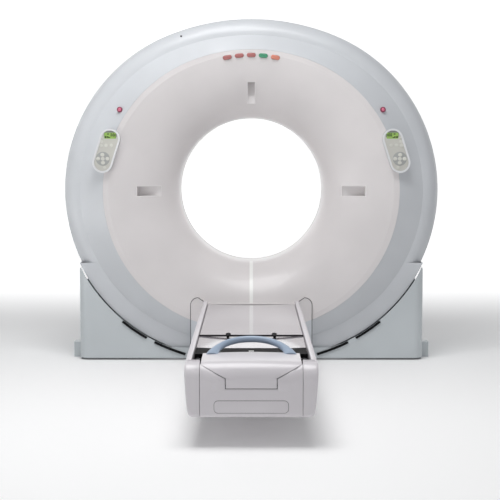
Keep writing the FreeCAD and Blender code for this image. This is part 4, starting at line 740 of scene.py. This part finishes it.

# %% [markdown]
# ## The interface panel's painted seam shade and the cover plug
# A thin dark strip round the panel that faces the couch is painted shade: it stands in for
# the shadow in the joint. It is a square-cut strip, so one rectangle carried along the
# panel's outline is enough. High on the left a small round plug closes a hole in the ring's
# cover; it is a ball let half into the cover, which stays round whichever way the cover
# leans there.


# %% Painted seam shade strip and plug
def seam_shade_strip(wide=3.4):
    """Up the side, (x, z) = c + r (cos a, sin a) round the shoulder, then down the slope."""
    panel = np.array(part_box("interface_panel")) * 1000.0
    half, top, front = panel[1][0], panel[1][2], panel[0][1]
    shoulder, run, drop = 48.0, 60.0, 40.0
    turn = np.linspace(0.0, math.pi / 2, 12)
    centre = np.array([half - shoulder, top - shoulder])
    outline = np.vstack([[(half, 90.0), (half, top - shoulder - 20.0)],
                         centre + shoulder * np.stack([np.cos(turn), np.sin(turn)], -1),
                         [(half - shoulder - run, top - drop)]])
    along = np.gradient(outline, axis=0)
    along /= np.linalg.norm(along, axis=1)[:, None]
    inwards = np.stack([-along[:, 1], along[:, 0]], -1)
    rows = []
    for shift, y in ((0.0, front - 0.9), (wide, front - 0.9), (wide, front + 3.0),
                     (0.0, front + 3.0)):
        edge = outline + inwards * shift
        rows.append(np.stack([edge[:, 0], np.full(len(edge), y), edge[:, 1]], -1))
    return Patch(np.stack(rows, 1))


# The dark strip is painted shade for the joint round the interface panel.
build("interface_gasket", both([seam_shade_strip()]), DARK_AND_SEAM_SHADE, "ring")
polar = np.linspace(0.03, math.pi - 0.03, 12)
ball = np.stack([6.0 * np.sin(polar), -6.0 * np.cos(polar)], -1)
build("cover_plug", [turned((-425.0, -328.5, 1971.5), ball, 20)], DARK_AND_SEAM_SHADE, "ring")

# %% [markdown]
# ## Finishes for the CAD pieces that stay
# Wherever the CAD solid already has the right shape it stays in the picture, and only its
# finish changes. A table of node to finish keeps that readable; anything inside the covers
# gets its working finish as well, because the covers come apart when the model is used.

# %% Finish every CAD node that stays
STAYING = {
    COOL: ["ring_cover_rear", "ring_rim_top", "ring_rim_left", "ring_rim_right",
           "ring_rim_bottom", "ring_cover_front"],
    INTERFACE: ["interface_panel"],
    BASE_COOL: ["base_cover_front", "base_cover_rear", "base_cover_sides", "anchor_covers"],
    WARM: ["bell_front", "bell_rear", "bore_liner"],
    # the laser pockets' lighter cream is painted light against the shade in the recesses
    POCKET_PAINTED_LIGHT: ["laser_recesses"],
    COUCH: ["couch_belly"],
    RIM_WHITE: ["panel_housings"],
    STRIP_WHITE: ["centre_strip"],
    FILM: ["scan_window"],
    BOARD: ["cradle_board", "cradle_extension"],
    BLACK: ["cradle_band", "touch_strips"],
    FRAME_PAINT: ["floor_frame", "column_left", "column_right", "tilt_frame", "couch_foot",
                  "couch_frame", "lift_arm_rising", "lift_arm_falling"],
    SHROUD: ["shroud_lower", "shroud_second", "shroud_third", "shroud_upper"],
    STEEL: ["bearing_outer_race", "bearing_inner_race", "slide_rails"],
    CASTING: ["rotor_drum", "slide_beam"],
    UNIT: ["xray_tube", "hv_generator", "heat_exchanger", "detector_arc", "lift_gearbox"],
}
finished = 0
for finish, names in STAYING.items():
    for name in names:
        for slot in bpy.data.objects[name].material_slots:
            slot.material = finish
        finished += 1
print(finished, "CAD nodes finished")

# %% [markdown]
# ## The studio
# A seamless white floor that runs up behind the machine, one large key light high on the
# left, a weaker one on the right and an even pale sky. The left flank of each round form
# then reads lighter than the right, and the inside of the bore fades softly. The wall
# stands far back, so that the machine can be looked at from all round.


# %% Floor, backdrop and lights
def seamless(width, front, back, height, bend):
    """A floor that curves up into a wall: a profile in Y and Z carried along X."""
    turn = np.linspace(0.0, math.pi / 2, 24)
    profile = [(front, 0.0), (back - bend, 0.0)]
    profile += [(back - bend + bend * math.sin(a), bend - bend * math.cos(a)) for a in turn[1:]]
    profile.append((back, height))
    y, z = np.array(profile).T
    across = np.array([-width / 2, width / 2])
    grid = np.stack([np.broadcast_to(across[:, None], (2, len(y))),
                     np.broadcast_to(y, (2, len(y))), np.broadcast_to(z, (2, len(y)))], -1)
    return grid


sweep_grid = seamless(60.0, -16.0, 18.0, 14.0, 4.0)
count = sweep_grid.shape[1]
floor_mesh = bpy.data.meshes.new("studio_floor")
floor_mesh.from_pydata(sweep_grid.reshape(-1, 3), [],
                       [(i, i + count, i + count + 1, i + 1) for i in range(count - 1)])
floor_mesh.shade_smooth()
floor_paint = Paint("studio_floor", Roughness=0.75)
floor_paint.feed(Base_Color=floor_paint.mix(floor_paint.noise(0.6), screen(246, 246, 246),
                                            screen(250, 250, 250)))
far_back, height = (floor_paint.add("ShaderNodeSeparateXYZ", None,
                                    {"Vector": floor_paint.place}, out=n) for n in (1, 2))
glow = (far_back + height).over(2.6, 3.0)
floor_paint.feed(Emission_Color=floor_paint.mix(glow, (0.12, 0.12, 0.12, 1.0),
                                                (1.0, 1.0, 1.0, 1.0)))
floor_paint.shader.inputs["Emission Strength"].default_value = 0.6
floor_mesh.materials.append(floor_paint.material)
floor = bpy.data.objects.new("studio_floor", floor_mesh)
bpy.context.scene.collection.objects.link(floor)

for name, place, aim, size, power, tint in (
        ("key_light", (-4.3, -3.1, 3.4), (-0.2, -0.3, 1.0), 2.0, 1130.0, (1.0, 0.995, 0.985)),
        ("sky_light", (-0.4, -2.5, 4.4), (0.0, -2.0, 0.3), 2.4, 125.0, (1.0, 1.0, 1.0)),
        ("fill_light", (3.6, -5.6, 1.6), (0.3, -0.4, 1.0), 3.0, 30.0, (0.97, 0.985, 1.0))):
    light = bpy.data.lights.new(name, "AREA")
    light.size, light.energy, light.color = size, power, tint
    holder = bpy.data.objects.new(name, light)
    holder.location = place
    way = np.array(aim) - np.array(place)
    holder.rotation_euler = (math.acos(way[2] / np.linalg.norm(way)) - math.pi, 0.0,
                             math.atan2(way[1], way[0]) - math.pi / 2)
    bpy.context.scene.collection.objects.link(holder)
world = bpy.data.worlds.new("pale_sky")
bpy.context.scene.world = world
world.use_nodes = True
world.node_tree.nodes["Background"].inputs["Color"].default_value = screen(252, 253, 255)
world.node_tree.nodes["Background"].inputs["Strength"].default_value = 0.34
print("studio ready")
